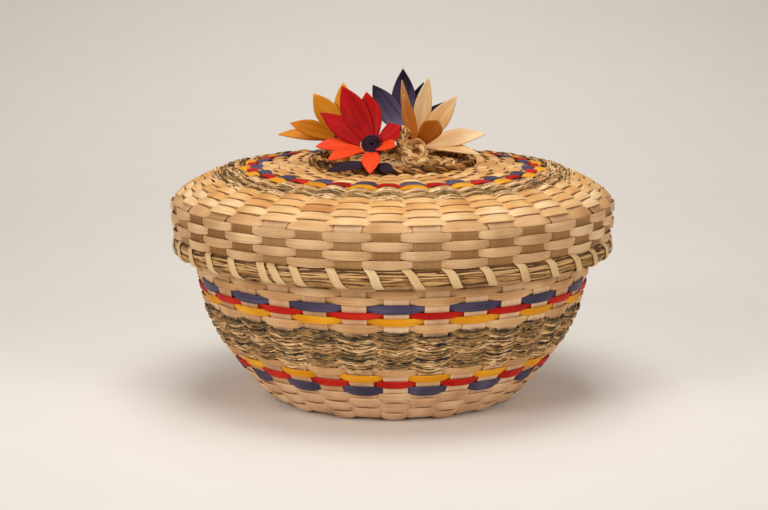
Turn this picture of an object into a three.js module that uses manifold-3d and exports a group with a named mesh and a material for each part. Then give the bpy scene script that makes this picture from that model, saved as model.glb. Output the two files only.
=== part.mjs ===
// Round covered basket of woven ash splint, with sweetgrass bands and splint flowers on its lid.
// Millimetres, +Z up. The origin is the centre of the bottom, on the surface it stands on.
// The front is towards -Y, and angles run from the front towards +X.

import * as THREE from 'three';
import { mergeVertices } from 'three/addons/utils/BufferGeometryUtils.js';
import Module from 'manifold-3d';

const wasm = await Module();
wasm.setup();

// Splint and play, shared by the base and the lid
const splint = 0.5; // thickness of every ash splint
const play = 0.3; // gap between pieces that touch
const weavePlay = 0.25; // gap between a weaver and the edge of an upright
const rowGap = 0.3; // gap between one woven row and the next
const uprightShare = 0.52; // part of the pitch that an upright fills
const hubRadius = 22;

// Base: a bowl that curves out from its foot to a straight neck
const baseUprights = 32;
const baseTurn = THREE.MathUtils.degToRad(0.6);
const bottomRadius = 64;
const bottomThickness = 0.8;
const bottomBend = 1; // how far past the bottom's edge the uprights start to turn up
const footRadius = 68;
const bellyRadius = 111;
const bellyHeight = 85;
const wallStart = 2.6; // height where the first row of the wall begins
const rimHeight = 116.5; // top of the rim hoops
const hoopWidth = 10;
const hoopThickness = 1;
const neckRows = 2; // wide plain rows that the lid covers
const bindingWidth = 4;
const bindingTurns = 16;
const bindingSlant = 0.4; // share of the pitch that the binding leans over on each side

// Widths of the base's rows, from the foot up
const footRowWidth = 4.5;
const footRows = 5;
const lowerNavyWidth = 6.35;
const lowerRedWidth = 4.4;
const lowerYellowWidth = 4.4;
const lowerPlainWidth = 4.4;
const baseGrassWidth = 6.1; // stands for two or three strands of sweetgrass side by side
const baseGrassRows = 4;
const middlePlainWidth = 4.35;
const upperYellowWidth = 3.7;
const upperRedWidth = 3.1;
const upperNavyWidth = 4.5;
const upperPlainWidth = 3.75;
const upperPlainRows = 3;
const grassThickness = 0.9;

// Lid: an upright side that draws in over the rim, and a low domed top
const lidUprights = 38;
const lidTurn = THREE.MathUtils.degToRad(-1.75);
const lidClearance = 0.5; // between the base's rim binding and the inside of the lid's rim
const domeRise = 18;
const domePower = 6;
const sideRowWidth = 4.75;
const sideRows = 4;
const drawIn = 5; // how far the side draws in from the shoulder to the rim
const drawInAbove = 1; // how much of that lies above the lowest row
const rimDepth = 10; // length of the uprights behind the bundle
const topRowWidth = 4.9;
const topRows = 6;
const shoulderRows = 2; // how many of the top rows lie on the steep edge of the dome
const lidGrassWidth = 6.4;
const lidGrassRows = 2;
const lidYellowWidth = 4.4;
const lidRedWidth = 3;
const lidNavyWidth = 4.4;
const centrePlateThickness = 0.8;
const plateSides = 36; // sides of the round plates at the bottom and on the lid

// Lid rim: a bundle of sweetgrass outside, a hoop inside, and a splint lashed round both
const bundleWidth = 6.2;
const bundleHeight = 9.8;
const bundleDrop = 1.4; // room for the lashing between the lowest row and the bundle
const bundleSides = 36;
const bundleCorners = 6;
const lashingWidth = 4.4;
const lashingTurns = 19; // one turn for every second upright
const lashingSlant = 0.23; // share of the pitch that the lashing leans over on the outside
const lashingCross = 0.06; // share of the pitch that it takes to cross the rim

// Flowers and braid on the lid
const petalWidth = 10;
const petalCurl = 0.12; // how far a petal's tip bends back, as a share of its length
const petalRoot = 3.6; // distance from the middle of a flower to where its petals start
const flowerHubRadius = 4.8;
const flowerHubTop = 2.5;
const flowerCentreRadius = 4;
const stemRadius = 2.2;
const stemSides = 8;
const braidRingRadius = 44;
const braidRadius = 3.2;
const braidSteps = 24;
const braidCorners = 6;
const knotRadius = 6.2;
const knotPlace = [14, -29];

// Each flower: where it stands on the lid, how high its root is and how long its petals are
const redPlace = [-12, -25];
const redHeight = 17;
const redUpperPetal = 33;
const redLowerPetal = 28;
const redSidePetal = 20;
const ochrePlace = [-27, 6];
const ochreHeight = 14;
const ochrePetal = 33;
const navyPlace = [8, 20];
const navyHeight = 16;
const navyPetal = 36;
const naturalPlace = [15, -10];
const naturalHeight = 14;
const naturalPetal = 38;
const backPetals = 7; // petals on each flower but the red one

const ashNatural = '#d8b384';
const ashGolden = '#dfab69';
const dyeNavy = '#46415f';
const dyeRed = '#b81a1a';
const dyeYellow = '#dd951a';
const dyeOchre = '#c07a1c';
const dyePurple = '#3a2438';
const sweetgrass = '#8a7448';

const basket = new THREE.Group();

function addPart(name, geometry, colour, roughness = 0.7) {
  const material = new THREE.MeshStandardMaterial({ color: colour, roughness, metalness: 0 });
  const mesh = new THREE.Mesh(geometry, material);
  mesh.name = name;
  basket.add(mesh);
}

// A point at a radius, an angle from the front and a height
function polar(radius, angle, height) {
  return new THREE.Vector3(radius * Math.sin(angle), -radius * Math.cos(angle), height);
}

// Skin a row of sections that all have the same number of corners, joined end to end or capped
function loft(sections, joined) {
  const corners = sections[0].length;
  const last = joined ? sections.length : sections.length - 1;
  const position = sections.flat().flatMap((point) => point.toArray());
  const index = [];
  for (let i = 0; i < last; i += 1) {
    const here = i * corners;
    const next = ((i + 1) % sections.length) * corners;
    for (let j = 0; j < corners; j += 1) {
      const k = (j + 1) % corners;
      index.push(here + j, next + j, next + k, here + j, next + k, here + k);
    }
  }
  if (!joined) {
    const end = last * corners;
    for (let j = 1; j < corners - 1; j += 1) {
      index.push(0, j, j + 1, end, end + j + 1, end + j);
    }
  }
  const geometry = new THREE.BufferGeometry();
  geometry.setAttribute('position', new THREE.Float32BufferAttribute(position, 3));
  geometry.setIndex(facesOut(position, index));
  return geometry;
}

// Turn every triangle round if the enclosed volume comes out negative
function facesOut(position, index) {
  const corner = (i) => new THREE.Vector3().fromArray(position, index[i] * 3);
  let volume = 0;
  for (let i = 0; i < index.length; i += 3) {
    volume += corner(i).dot(corner(i + 1).cross(corner(i + 2)));
  }
  return volume < 0 ? index.slice().reverse() : index;
}

function toSolid(geometry) {
  const bare = geometry.clone();
  bare.deleteAttribute('normal');
  bare.deleteAttribute('uv');
  const merged = mergeVertices(bare, 1e-5);
  const vertProperties = new Float32Array(merged.attributes.position.array);
  const triVerts = new Uint32Array(merged.index.array);
  return new wasm.Manifold(new wasm.Mesh({ numProp: 3, vertProperties, triVerts }));
}

function union(geometries) {
  const [first, ...rest] = geometries.map(toSolid);
  const mesh = rest.reduce((whole, piece) => whole.add(piece), first).getMesh();
  const geometry = new THREE.BufferGeometry();
  geometry.setAttribute('position', new THREE.BufferAttribute(mesh.vertProperties, 3));
  geometry.setIndex(new THREE.BufferAttribute(mesh.triVerts, 1));
  return geometry;
}

// A faceted ball, for the small round pieces
function ball(radius, middle) {
  const geometry = new THREE.OctahedronGeometry(radius, 1);
  geometry.deleteAttribute('normal');
  geometry.deleteAttribute('uv');
  geometry.translate(middle.x, middle.y, middle.z);
  return mergeVertices(geometry, 1e-4);
}

// An upright cylinder from one height to another
function disc(radius, low, high, sides, x = 0, y = 0) {
  const geometry = new THREE.CylinderGeometry(radius, radius, high - low, sides);
  geometry.rotateX(Math.PI / 2);
  geometry.translate(x, y, (low + high) / 2);
  return geometry;
}

// Profiles are lists of (radius, height) points. This finds the point at a distance along one.
function along(path, distance) {
  let left = distance;
  for (let i = 1; i < path.length; i += 1) {
    const step = path[i].distanceTo(path[i - 1]);
    if (left <= step || i === path.length - 1) {
      return path[i - 1].clone().lerp(path[i], left / step);
    }
    left -= step;
  }
  return path.at(-1).clone();
}

// Corners that stand on a curve, each one a set of rows further along than the one before.
// Every row then lies on one straight stretch of the profile.
function cornersOn(curve, start, widths) {
  const corners = [curve(start)];
  let from = start;
  for (const width of widths) {
    let [near, far] = [from, from + width];
    for (let i = 0; i < 40; i += 1) {
      const middle = (near + far) / 2;
      const short = curve(middle).distanceTo(corners.at(-1)) < width;
      [near, far] = short ? [middle, far] : [near, middle];
    }
    from = far;
    corners.push(curve(from));
  }
  return corners;
}

// Outward side of a profile that runs up the base or in across the lid
function outward(low, high) {
  const direction = high.clone().sub(low).normalize();
  return new THREE.Vector2(direction.y, -direction.x);
}

// How far a weaver stands out over one upright and in behind the next, so that its straight
// runs clear the edges of both. A straight run cuts across the round of the wall by sag.
function weave(radius, count, thickness, lean) {
  const pitch = (2 * Math.PI) / count;
  const edge = uprightShare / 2;
  const clear = (splint + thickness) / 2 + weavePlay;
  const swing = (2 * clear) / (1 - 2 * edge);
  const sag = ((radius * pitch * pitch) / 2) * edge * (1 - edge) * lean;
  return { over: clear + edge * swing + sag, under: clear + edge * swing - sag };
}

// One woven row: a flat ring that passes over every second upright and under the others
function weaverRing(low, high, count, turn, overEven, thickness = splint) {
  const normal = outward(low, high);
  const { over, under } = weave((low.x + high.x) / 2, count, thickness, normal.x);
  const sections = [];
  for (let k = 0; k < count; k += 1) {
    const isOver = (k % 2 === 0) === overEven;
    const middle = isOver ? over : -under;
    const angle = turn + (k * 2 * Math.PI) / count;
    const corner = (point, offset) => {
      const reach = middle + offset;
      return polar(point.x + normal.x * reach, angle, point.y + normal.y * reach);
    };
    const half = thickness / 2;
    sections.push([corner(low, -half), corner(low, half), corner(high, half), corner(high, -half)]);
  }
  return loft(sections, true);
}

// Rows side by side along a profile. Each row is [name, width, colour, thickness].
function setWidth(rows) {
  return rows.reduce((sum, [, width]) => sum + width, 0);
}

function weaveRows(rows, path, start, count, turn, firstOverEven) {
  let reached = start;
  rows.forEach(([name, width, colour, thickness], i) => {
    const low = along(path, reached + rowGap / 2);
    const high = along(path, reached + width - rowGap / 2);
    const overEven = (i % 2 === 0) === firstOverEven;
    addPart(name, weaverRing(low, high, count, turn, overEven, thickness), colour);
    reached += width;
  });
  return reached;
}

function numbered(name, count, width, colour, thickness = splint) {
  return Array.from({ length: count }, (_, i) => [`${name}_${i + 1}`, width, colour, thickness]);
}

// Uprights: flat splints that cross at the middle, widen outwards and follow a profile that starts
// at the middle. The middle is one flat piece, and each upright grows out of a side of its rim.
function uprights(path, count, turn) {
  const half = (uprightShare * Math.PI) / count;
  const thin = splint / 2;
  const normals = path.map((point, i) => {
    const before = path[Math.max(i - 1, 0)];
    const after = path[Math.min(i + 1, path.length - 1)];
    return outward(before, after);
  });
  const position = [0, 0, path[0].y - thin, 0, 0, path[0].y + thin];
  const index = [];
  const quad = (a, b, c, d) => index.push(a, b, c, a, c, d);
  const perArm = path.length * 4;
  const first = (k) => 2 + (k % count) * perArm;
  for (let k = 0; k < count; k += 1) {
    const angle = turn + (k * 2 * Math.PI) / count;
    path.forEach((point, i) => {
      for (const [side, offset] of [[-1, thin], [1, thin], [1, -thin], [-1, -thin]]) {
        const radius = point.x + normals[i].x * offset;
        const height = point.y + normals[i].y * offset;
        position.push(...polar(radius, angle + side * half, height).toArray());
      }
    });
    const start = first(k);
    for (let i = 0; i < path.length - 1; i += 1) {
      for (let j = 0; j < 4; j += 1) {
        const [a, b] = [start + i * 4 + j, start + i * 4 + ((j + 1) % 4)];
        quad(a, a + 4, b + 4, b);
      }
    }
    const end = start + perArm - 4;
    quad(end, end + 3, end + 2, end + 1);
    const next = first(k + 1);
    index.push(0, start, start + 1, 0, start + 1, next);
    index.push(1, start + 2, start + 3, 1, next + 3, start + 2);
    quad(start + 1, start + 2, next + 3, next);
  }
  const geometry = new THREE.BufferGeometry();
  geometry.setAttribute('position', new THREE.Float32BufferAttribute(position, 3));
  geometry.setIndex(facesOut(position, index));
  return geometry;
}

// A plain ring with a section given as (radius, height) points
function plainRing(section, count, turn) {
  const sections = [];
  for (let k = 0; k < count; k += 1) {
    const angle = turn + (k * 2 * Math.PI) / count;
    sections.push(section.map((point) => polar(point.x, angle, point.y)));
  }
  return loft(sections, true);
}

function hoop(radius, low, high, count, turn) {
  const half = hoopThickness / 2;
  const section = [[-half, low], [half, low], [half, high], [-half, high]];
  return plainRing(section.map(([offset, z]) => new THREE.Vector2(radius + offset, z)), count, turn);
}

// Distance that a ring of straight runs falls inside its round at the edge of an upright
function edgeSag(radius, count) {
  const pitch = (2 * Math.PI) / count;
  const edge = uprightShare / 2;
  return ((radius * pitch * pitch) / 2) * edge * (1 - edge);
}

// A flat splint wound round a rim. Each turn goes through the loop of (radius, height, share of
// the pitch) points, and the strip lies flat along the rim.
function winding(name, loop, turns, pitch, turn, width) {
  const steps = [];
  for (let i = 0; i < turns * loop.length - 1; i += 1) {
    const [radius, height, share] = loop[i % loop.length];
    const before = loop[(i + loop.length - 1) % loop.length];
    const after = loop[(i + 1) % loop.length];
    const direction = new THREE.Vector2(after[0] - before[0], after[1] - before[1]).normalize();
    const normal = new THREE.Vector2(-direction.y, direction.x);
    const angle = turn + (Math.floor(i / loop.length) + share) * pitch;
    const half = width / 2 / radius;
    const corner = (side, offset) =>
      polar(radius + normal.x * offset, angle + side * half, height + normal.y * offset);
    const thin = splint / 2;
    steps.push([corner(-1, -thin), corner(1, -thin), corner(1, thin), corner(-1, thin)]);
  }
  console.log(`${name}: least gap to itself ${leastGap(steps, loop.length).toFixed(2)} mm`);
  return loft(steps, false);
}

// Least distance between the edges of one turn of a winding and the edges of the turns after it
function leastGap(steps, perTurn) {
  const shares = [0, 0.25, 0.5, 0.75];
  const edges = steps.slice(0, -1).map((section, i) =>
    section.flatMap((point, j) => shares.map((share) => point.clone().lerp(steps[i + 1][j], share))));
  let least = Infinity;
  for (let i = 0; i < edges.length; i += 1) {
    for (let j = i + perTurn - 1; j < edges.length; j += 1) {
      for (const a of edges[i]) {
        for (const b of edges[j]) {
          least = Math.min(least, a.distanceTo(b));
        }
      }
    }
  }
  return least;
}

// Base profile: out along the bottom, then up the bowl and the neck
const bottomHeight = bottomThickness + play + splint / 2;

function bowlRadius(height) {
  const share = Math.min(height / bellyHeight, 1);
  return footRadius + (bellyRadius - footRadius) * (1 - (1 - share) ** 2);
}

const baseSets = [
  numbered('base_foot_row', footRows, footRowWidth, ashNatural),
  [
    ['base_lower_navy_row', lowerNavyWidth, dyeNavy, splint],
    ['base_lower_red_row', lowerRedWidth, dyeRed, splint],
    ['base_lower_yellow_row', lowerYellowWidth, dyeYellow, splint],
    ['base_lower_plain_row', lowerPlainWidth, ashNatural, splint],
  ],
  numbered('base_sweetgrass_row', baseGrassRows, baseGrassWidth, sweetgrass, grassThickness),
  [
    ['base_middle_plain_row', middlePlainWidth, ashNatural, splint],
    ['base_upper_yellow_row', upperYellowWidth, dyeYellow, splint],
    ['base_upper_red_row', upperRedWidth, dyeRed, splint],
    ['base_upper_navy_row', upperNavyWidth, dyeNavy, splint],
    ...numbered('base_upper_plain_row', upperPlainRows, upperPlainWidth, ashNatural),
  ],
];
const bowlPoint = (height) => new THREE.Vector2(bowlRadius(height), height);
const bowlCorners = cornersOn(bowlPoint, wallStart, baseSets.map(setWidth));
const neckLow = bowlCorners.at(-1).y;
const neckRadius = bowlCorners.at(-1).x;
const baseWall = [...bowlCorners, new THREE.Vector2(neckRadius, rimHeight)];
const baseProfile = [
  new THREE.Vector2(hubRadius, bottomHeight),
  new THREE.Vector2(bottomRadius + bottomBend, bottomHeight),
  ...baseWall,
];

addPart('base_bottom_rounds', disc(bottomRadius, 0, bottomThickness, plateSides), ashNatural);
addPart('base_uprights', uprights(baseProfile, baseUprights, baseTurn), ashNatural);
const wallRows = baseSets.flat();
const wallTop = weaveRows(wallRows, baseWall, 0, baseUprights, baseTurn, true);

// Base rim: a hoop inside and a hoop outside the uprights, bound together by a winding splint
const hoopLow = rimHeight - hoopWidth;
const bindingReach = play + splint / 2;
const hoopSag = edgeSag(neckRadius, baseUprights);
const outerHoopRadius = neckRadius + splint / 2 + play + hoopThickness / 2 + hoopSag;
const uprightMiddle = neckRadius * Math.cos((uprightShare * Math.PI) / baseUprights);
const innerHoopRadius = uprightMiddle - splint / 2 - play - hoopThickness / 2;
const bindingLow = hoopLow - bindingReach;
const bindingHigh = rimHeight + bindingReach;
const bindingOuter = outerHoopRadius + hoopThickness / 2 + bindingReach;
const bindingInner = innerHoopRadius - hoopThickness / 2 - bindingReach - hoopSag;

const neckLength = bindingLow - splint / 2 - play - neckLow;
const neckSet = numbered('base_neck_row', neckRows, neckLength / neckRows, ashNatural);
weaveRows(neckSet, baseWall, wallTop, baseUprights, baseTurn, wallRows.length % 2 === 0);

addPart('base_outer_hoop', hoop(outerHoopRadius, hoopLow, rimHeight, baseUprights, baseTurn), ashNatural);
addPart('base_inner_hoop', hoop(innerHoopRadius, hoopLow, rimHeight, baseUprights, baseTurn), ashNatural);
const bindingPitch = (2 * Math.PI) / bindingTurns;
const bindingStart = baseTurn + Math.PI / baseUprights;
const bindingLoop = [
  [bindingOuter, bindingLow, 0],
  [bindingOuter, bindingHigh, bindingSlant],
  [bindingInner, bindingHigh, 0.5],
  [bindingInner, bindingLow, 0.5 + bindingSlant],
];
const bindingName = 'base_rim_binding';
const binding = winding(bindingName, bindingLoop, bindingTurns, bindingPitch, bindingStart, bindingWidth);
addPart(bindingName, binding, ashNatural);

// Lid profile. Heights are first found from the shoulder, then lifted to seat on the base's rim.
const lidTopSet = numbered('lid_top_row', topRows, topRowWidth, ashGolden);
const lidSets = [
  lidTopSet.slice(0, shoulderRows),
  lidTopSet.slice(shoulderRows),
  [
    ...numbered('lid_sweetgrass_row', lidGrassRows, lidGrassWidth, sweetgrass, grassThickness),
    ['lid_yellow_row', lidYellowWidth, dyeYellow, splint],
    ['lid_red_row', lidRedWidth, dyeRed, splint],
    ['lid_navy_row', lidNavyWidth, dyeNavy, splint],
  ],
];

// The lid's rim is sized from the inside out, so that its lashing clears the base's rim binding.
// The lashing's straight runs and the hoop's straight sides both fall inside their rounds.
const lashingPitch = (2 * Math.PI) / lashingTurns;
const uprightPitch = (2 * Math.PI) / lidUprights;
const lashingReach = play + splint / 2;
const innerRun = (1 - lashingSlant - 2 * lashingCross) * lashingPitch;
const lashingInner = (bindingOuter + splint + lidClearance) / Math.cos(innerRun / 2);
const lidHoopRadius = (lashingInner + lashingReach) / Math.cos(uprightPitch / 2) + hoopThickness / 2;
const lidUprightMiddle = lidHoopRadius + hoopThickness / 2 + play + splint / 2;
const lidRimRadius = lidUprightMiddle / Math.cos((uprightShare * Math.PI) / lidUprights);
const lidRadius = lidRimRadius + drawIn;

function domePoint(inset) {
  const radius = lidRadius - inset;
  return new THREE.Vector2(radius, domeRise * (1 - (radius / lidRadius) ** domePower));
}

const domeAtShoulder = [...cornersOn(domePoint, 0, lidSets.map(setWidth)), domePoint(lidRadius - hubRadius)];

// Lowest point of the woven top at a radius: the inside of a weaver that passes under
function lidUnderside(radius) {
  const outer = domeAtShoulder.findLastIndex((point) => point.x >= radius);
  const [low, high] = [domeAtShoulder[outer], domeAtShoulder[outer + 1]];
  const height = low.y + ((high.y - low.y) * (low.x - radius)) / (low.x - high.x);
  const normal = outward(low, high);
  const { under } = weave(radius, lidUprights, splint, normal.x);
  return height - (under + splint / 2) / normal.y;
}

const bindingEdge = bindingOuter + splint / 2;
const shoulderHeight = bindingHigh + splint / 2 + play - lidUnderside(bindingEdge);
const lidTop = domeAtShoulder.map((point) => new THREE.Vector2(point.x, point.y + shoulderHeight));
const sideLow = shoulderHeight - sideRows * sideRowWidth;
const lidSide = [
  new THREE.Vector2(lidRimRadius, sideLow),
  new THREE.Vector2(lidRadius - drawInAbove, sideLow + sideRowWidth),
  new THREE.Vector2(lidRadius, shoulderHeight),
];
const lidProfile = [
  ...lidTop.slice().reverse(),
  ...lidSide.slice(0, -1).reverse(),
  new THREE.Vector2(lidRimRadius, sideLow - rimDepth),
];
addPart('lid_uprights', uprights(lidProfile, lidUprights, lidTurn), ashNatural);

// Side rows are counted from the shoulder down, and woven at even heights up the side
function atHeight(path, height) {
  const above = Math.max(path.findIndex((point) => point.y >= height), 1);
  const [low, high] = [path[above - 1], path[above]];
  return low.clone().lerp(high, (height - low.y) / (high.y - low.y));
}

for (let i = 0; i < sideRows; i += 1) {
  const top = shoulderHeight - i * sideRowWidth;
  const low = atHeight(lidSide, top - sideRowWidth + rowGap / 2);
  const high = atHeight(lidSide, top - rowGap / 2);
  const row = weaverRing(low, high, lidUprights, lidTurn, i % 2 === 1);
  addPart(`lid_side_row_${i + 1}`, row, ashNatural);
}

const innerEdge = along(lidTop, weaveRows(lidSets.flat(), lidTop, 0, lidUprights, lidTurn, true)).x;

// Middle of the lid: the narrow rounds that the weaving starts from, over the crossed uprights
const plateLow = lidTop.at(-1).y + splint / 2 + play;
const plateTop = plateLow + centrePlateThickness;
addPart('lid_centre_rounds', disc(innerEdge - play, plateLow, plateTop, plateSides), ashNatural);

// Lid rim
const bundleSag = lidRadius * (1 - Math.cos(Math.PI / bundleSides));
const bundleRadius = lidRimRadius + splint / 2 + play + bundleSag + bundleWidth / 2;
const bundleMiddle = sideLow - bundleDrop - bundleHeight / 2;
const bundleSection = [];
for (let i = 0; i < bundleCorners; i += 1) {
  const angle = (i * 2 * Math.PI) / bundleCorners;
  const out = (Math.cos(angle) * bundleWidth) / 2;
  const up = (Math.sin(angle) * bundleHeight) / 2 / Math.sin(Math.PI / 3);
  bundleSection.push(new THREE.Vector2(bundleRadius + out, bundleMiddle + up));
}
addPart('lid_rim_bundle', plainRing(bundleSection, bundleSides, 0), sweetgrass, 0.85);

const bundleLow = bundleMiddle - bundleHeight / 2;
const bundleHigh = bundleMiddle + bundleHeight / 2;
addPart('lid_inner_hoop', hoop(lidHoopRadius, bundleLow, bundleHigh, lidUprights, lidTurn), ashNatural);

// Lashing: over the top between two uprights, down the outside on a slant, and up the inside
const lashingOuter = bundleRadius + bundleWidth / 2 + lashingReach;
const bundleShoulder = bundleRadius + bundleWidth / 4 + play;
const lashingLoop = [
  [bundleShoulder, bundleHigh + lashingReach, 0],
  [lashingOuter, bundleMiddle, lashingSlant / 2],
  [bundleShoulder, bundleLow - lashingReach, lashingSlant],
  [lashingInner, bundleLow - lashingReach, lashingSlant + lashingCross],
  [lashingInner, bundleHigh + lashingReach, 1 - lashingCross],
];
const lashingStart = lidTurn + uprightPitch / 2;
const lashingName = 'lid_rim_lashing';
const lashing = winding(lashingName, lashingLoop, lashingTurns, lashingPitch, lashingStart, lashingWidth);
addPart(lashingName, lashing, ashNatural);

// Flowers: pointed petals of splint that open from a bound root, on a stem that stands on the lid
function petal(root, direction, facing, length) {
  const side = direction.clone().cross(facing).normalize();
  const stations = [[petalRoot / length, 0.1], [0.5, 1], [0.8, 0.65], [1, 0.06]];
  const sections = stations.map(([share, wide]) => {
    const bend = facing.clone().multiplyScalar(-petalCurl * length * share * share);
    const middle = root.clone().addScaledVector(direction, length * share).add(bend);
    const tangent = direction.clone().addScaledVector(facing, -2 * petalCurl * share).normalize();
    const normal = side.clone().cross(tangent);
    const corner = (across, through) => middle.clone()
      .addScaledVector(side, (across * wide * petalWidth) / 2)
      .addScaledVector(normal, (through * splint) / 2);
    return [corner(-1, -1), corner(1, -1), corner(1, 1), corner(-1, 1)];
  });
  return loft(sections, false);
}

function flower({ name, colour, centreColour, place, height, facing, spread, petals }) {
  const axis = new THREE.Vector3(...facing).normalize();
  const right = new THREE.Vector3(0, 0, 1).cross(axis).normalize();
  const up = axis.clone().cross(right);
  const root = new THREE.Vector3(place[0], place[1], plateTop + height);
  const opening = THREE.MathUtils.degToRad(spread);
  const hub = new THREE.CylinderGeometry(flowerHubRadius, stemRadius, 2 * flowerHubTop, stemSides);
  hub.applyQuaternion(new THREE.Quaternion().setFromUnitVectors(new THREE.Vector3(0, 1, 0), axis));
  hub.translate(root.x, root.y, root.z);
  const pieces = [hub, disc(stemRadius, plateTop + play, root.z, stemSides, root.x, root.y)];
  for (const [degrees, length] of petals) {
    const around = THREE.MathUtils.degToRad(degrees);
    const direction = axis.clone().multiplyScalar(Math.cos(opening))
      .addScaledVector(right, Math.sin(opening) * Math.cos(around))
      .addScaledVector(up, Math.sin(opening) * Math.sin(around));
    pieces.push(petal(root, direction, axis, length));
  }
  addPart(`flower_${name}_petals`, union(pieces), colour, 0.6);
  const lift = flowerHubTop + play + flowerCentreRadius;
  const middle = root.clone().addScaledVector(axis, lift);
  addPart(`flower_${name}_centre`, ball(flowerCentreRadius, middle), centreColour);
}

// Petals are [angle in the flower's face, length]. Angle 0 is the flower's right, 90 its top.
function evenPetals(count, length) {
  return Array.from({ length: count }, (_, i) => [(i * 360) / count, length]);
}

flower({
  name: 'red', colour: dyeRed, centreColour: dyePurple, place: redPlace, height: redHeight,
  facing: [-0.15, -0.75, 0.64], spread: 62,
  petals: [
    ...[78, 112, 150, 188].map((angle) => [angle, redUpperPetal]),
    ...[224, 268].map((angle) => [angle, redLowerPetal]),
    ...[318, 20].map((angle) => [angle, redSidePetal]),
  ],
});
flower({
  name: 'ochre', colour: dyeOchre, centreColour: dyePurple, place: ochrePlace, height: ochreHeight,
  facing: [-0.55, 0.4, 0.73], spread: 50, petals: evenPetals(backPetals, ochrePetal),
});
flower({
  name: 'navy', colour: dyeNavy, centreColour: dyePurple, place: navyPlace, height: navyHeight,
  facing: [0.1, 0.6, 0.79], spread: 50, petals: evenPetals(backPetals, navyPetal),
});
flower({
  name: 'natural', colour: ashNatural, centreColour: dyePurple, place: naturalPlace, height: naturalHeight,
  facing: [0.62, -0.2, 0.76], spread: 50, petals: evenPetals(backPetals, naturalPetal),
});

// Braid of sweetgrass: a ring round the flowers, and the knot where its ends are tied
const braidHeight = plateTop + play + braidRadius;
const braidSection = Array.from({ length: braidCorners }, (_, i) => {
  const angle = (i * 2 * Math.PI) / braidCorners;
  const up = Math.sin(angle) * braidRadius;
  return new THREE.Vector2(braidRingRadius + Math.cos(angle) * braidRadius, braidHeight + up);
});
addPart('lid_braid_ring', plainRing(braidSection, braidSteps, 0), sweetgrass, 0.85);
const knotMiddle = new THREE.Vector3(knotPlace[0], knotPlace[1], plateTop + play + knotRadius);
addPart('lid_braid_knot', ball(knotRadius, knotMiddle), sweetgrass, 0.85);

export default basket;
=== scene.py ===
from math import cos, hypot, pi, radians, sin, tau

import bmesh
import bpy
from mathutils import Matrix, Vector


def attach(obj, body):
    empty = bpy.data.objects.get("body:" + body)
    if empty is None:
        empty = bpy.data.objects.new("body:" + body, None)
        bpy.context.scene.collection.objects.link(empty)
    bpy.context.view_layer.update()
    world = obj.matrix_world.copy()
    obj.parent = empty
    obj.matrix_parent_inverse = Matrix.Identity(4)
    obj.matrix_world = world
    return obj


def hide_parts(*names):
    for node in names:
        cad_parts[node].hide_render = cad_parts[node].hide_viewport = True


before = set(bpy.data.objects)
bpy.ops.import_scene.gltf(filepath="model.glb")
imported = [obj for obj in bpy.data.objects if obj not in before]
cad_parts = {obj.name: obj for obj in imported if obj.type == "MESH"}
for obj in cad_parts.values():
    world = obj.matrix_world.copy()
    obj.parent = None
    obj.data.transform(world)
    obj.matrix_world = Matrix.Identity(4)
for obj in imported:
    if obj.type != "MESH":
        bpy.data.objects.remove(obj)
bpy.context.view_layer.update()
scene = bpy.context.scene
scene.view_settings.view_transform = "Standard"

# Studio: a sweep of pale paper under and behind the basket, a soft lamp at each front side, one overhead and
# one for the paper behind. The camera stands 1.1 m away, a little above the lid, and looks slightly down.
mm = 0.001
camera_place = (-4.8 * mm, -1100 * mm, 277.5 * mm)
camera_pitch = radians(10.2)
camera_lens = 91.5  # on a sensor 36 mm wide
sweep_half_width = 2500 * mm
sweep_front = -2500 * mm
sweep_turn = 1200 * mm  # where the paper begins to roll up
sweep_bend = 2200 * mm
sweep_top = 2600 * mm
sweep_steps = 32
paper_white = "#efe9e1"
paper_mottle = "#ebe5dd"
paper_patch = 60 * mm
room_light = "#fff8ef"
room_level = 0.34
lamp_size = 550 * mm


def linear(hex_colour):
    """The linear colour of an sRGB hex value."""
    shares = [int(hex_colour[i:i + 2], 16) / 255 for i in (1, 3, 5)]
    return [s / 12.92 if s <= 0.04045 else ((s + 0.055) / 1.055) ** 2.4 for s in shares] + [1]


def add(tree, kind, *values, output=0, **settings):
    """Adds a node with its settings, feeds its inputs in order, and gives back one of its outputs."""
    node = tree.nodes.new(kind)
    for name, value in settings.items():
        setattr(node, name, value)
    for socket, value in zip([s for s in node.inputs if s.enabled], values):
        if isinstance(value, bpy.types.NodeSocket):
            tree.links.new(value, socket)
        elif value is not None:
            socket.default_value = value
    if isinstance(output, str):
        return node.outputs[output]
    shown = [s for s in node.outputs if s.enabled]
    return shown[output] if shown else node


def matt_paper():
    """Uncoated paper: matt, almost white, with a faint unevenness."""
    material = bpy.data.materials.new("matt paper")
    material.use_nodes = True
    tree = material.node_tree
    shader = tree.nodes["Principled BSDF"]
    place = add(tree, "ShaderNodeTexCoord", output="Object")
    patches = add(tree, "ShaderNodeTexNoise", place, 1 / paper_patch, 2)
    colour = add(tree, "ShaderNodeMix", patches, linear(paper_white), linear(paper_mottle), data_type="RGBA")
    tree.links.new(colour, shader.inputs["Base Color"])
    shader.inputs["Roughness"].default_value = 0.9
    return material


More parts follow.
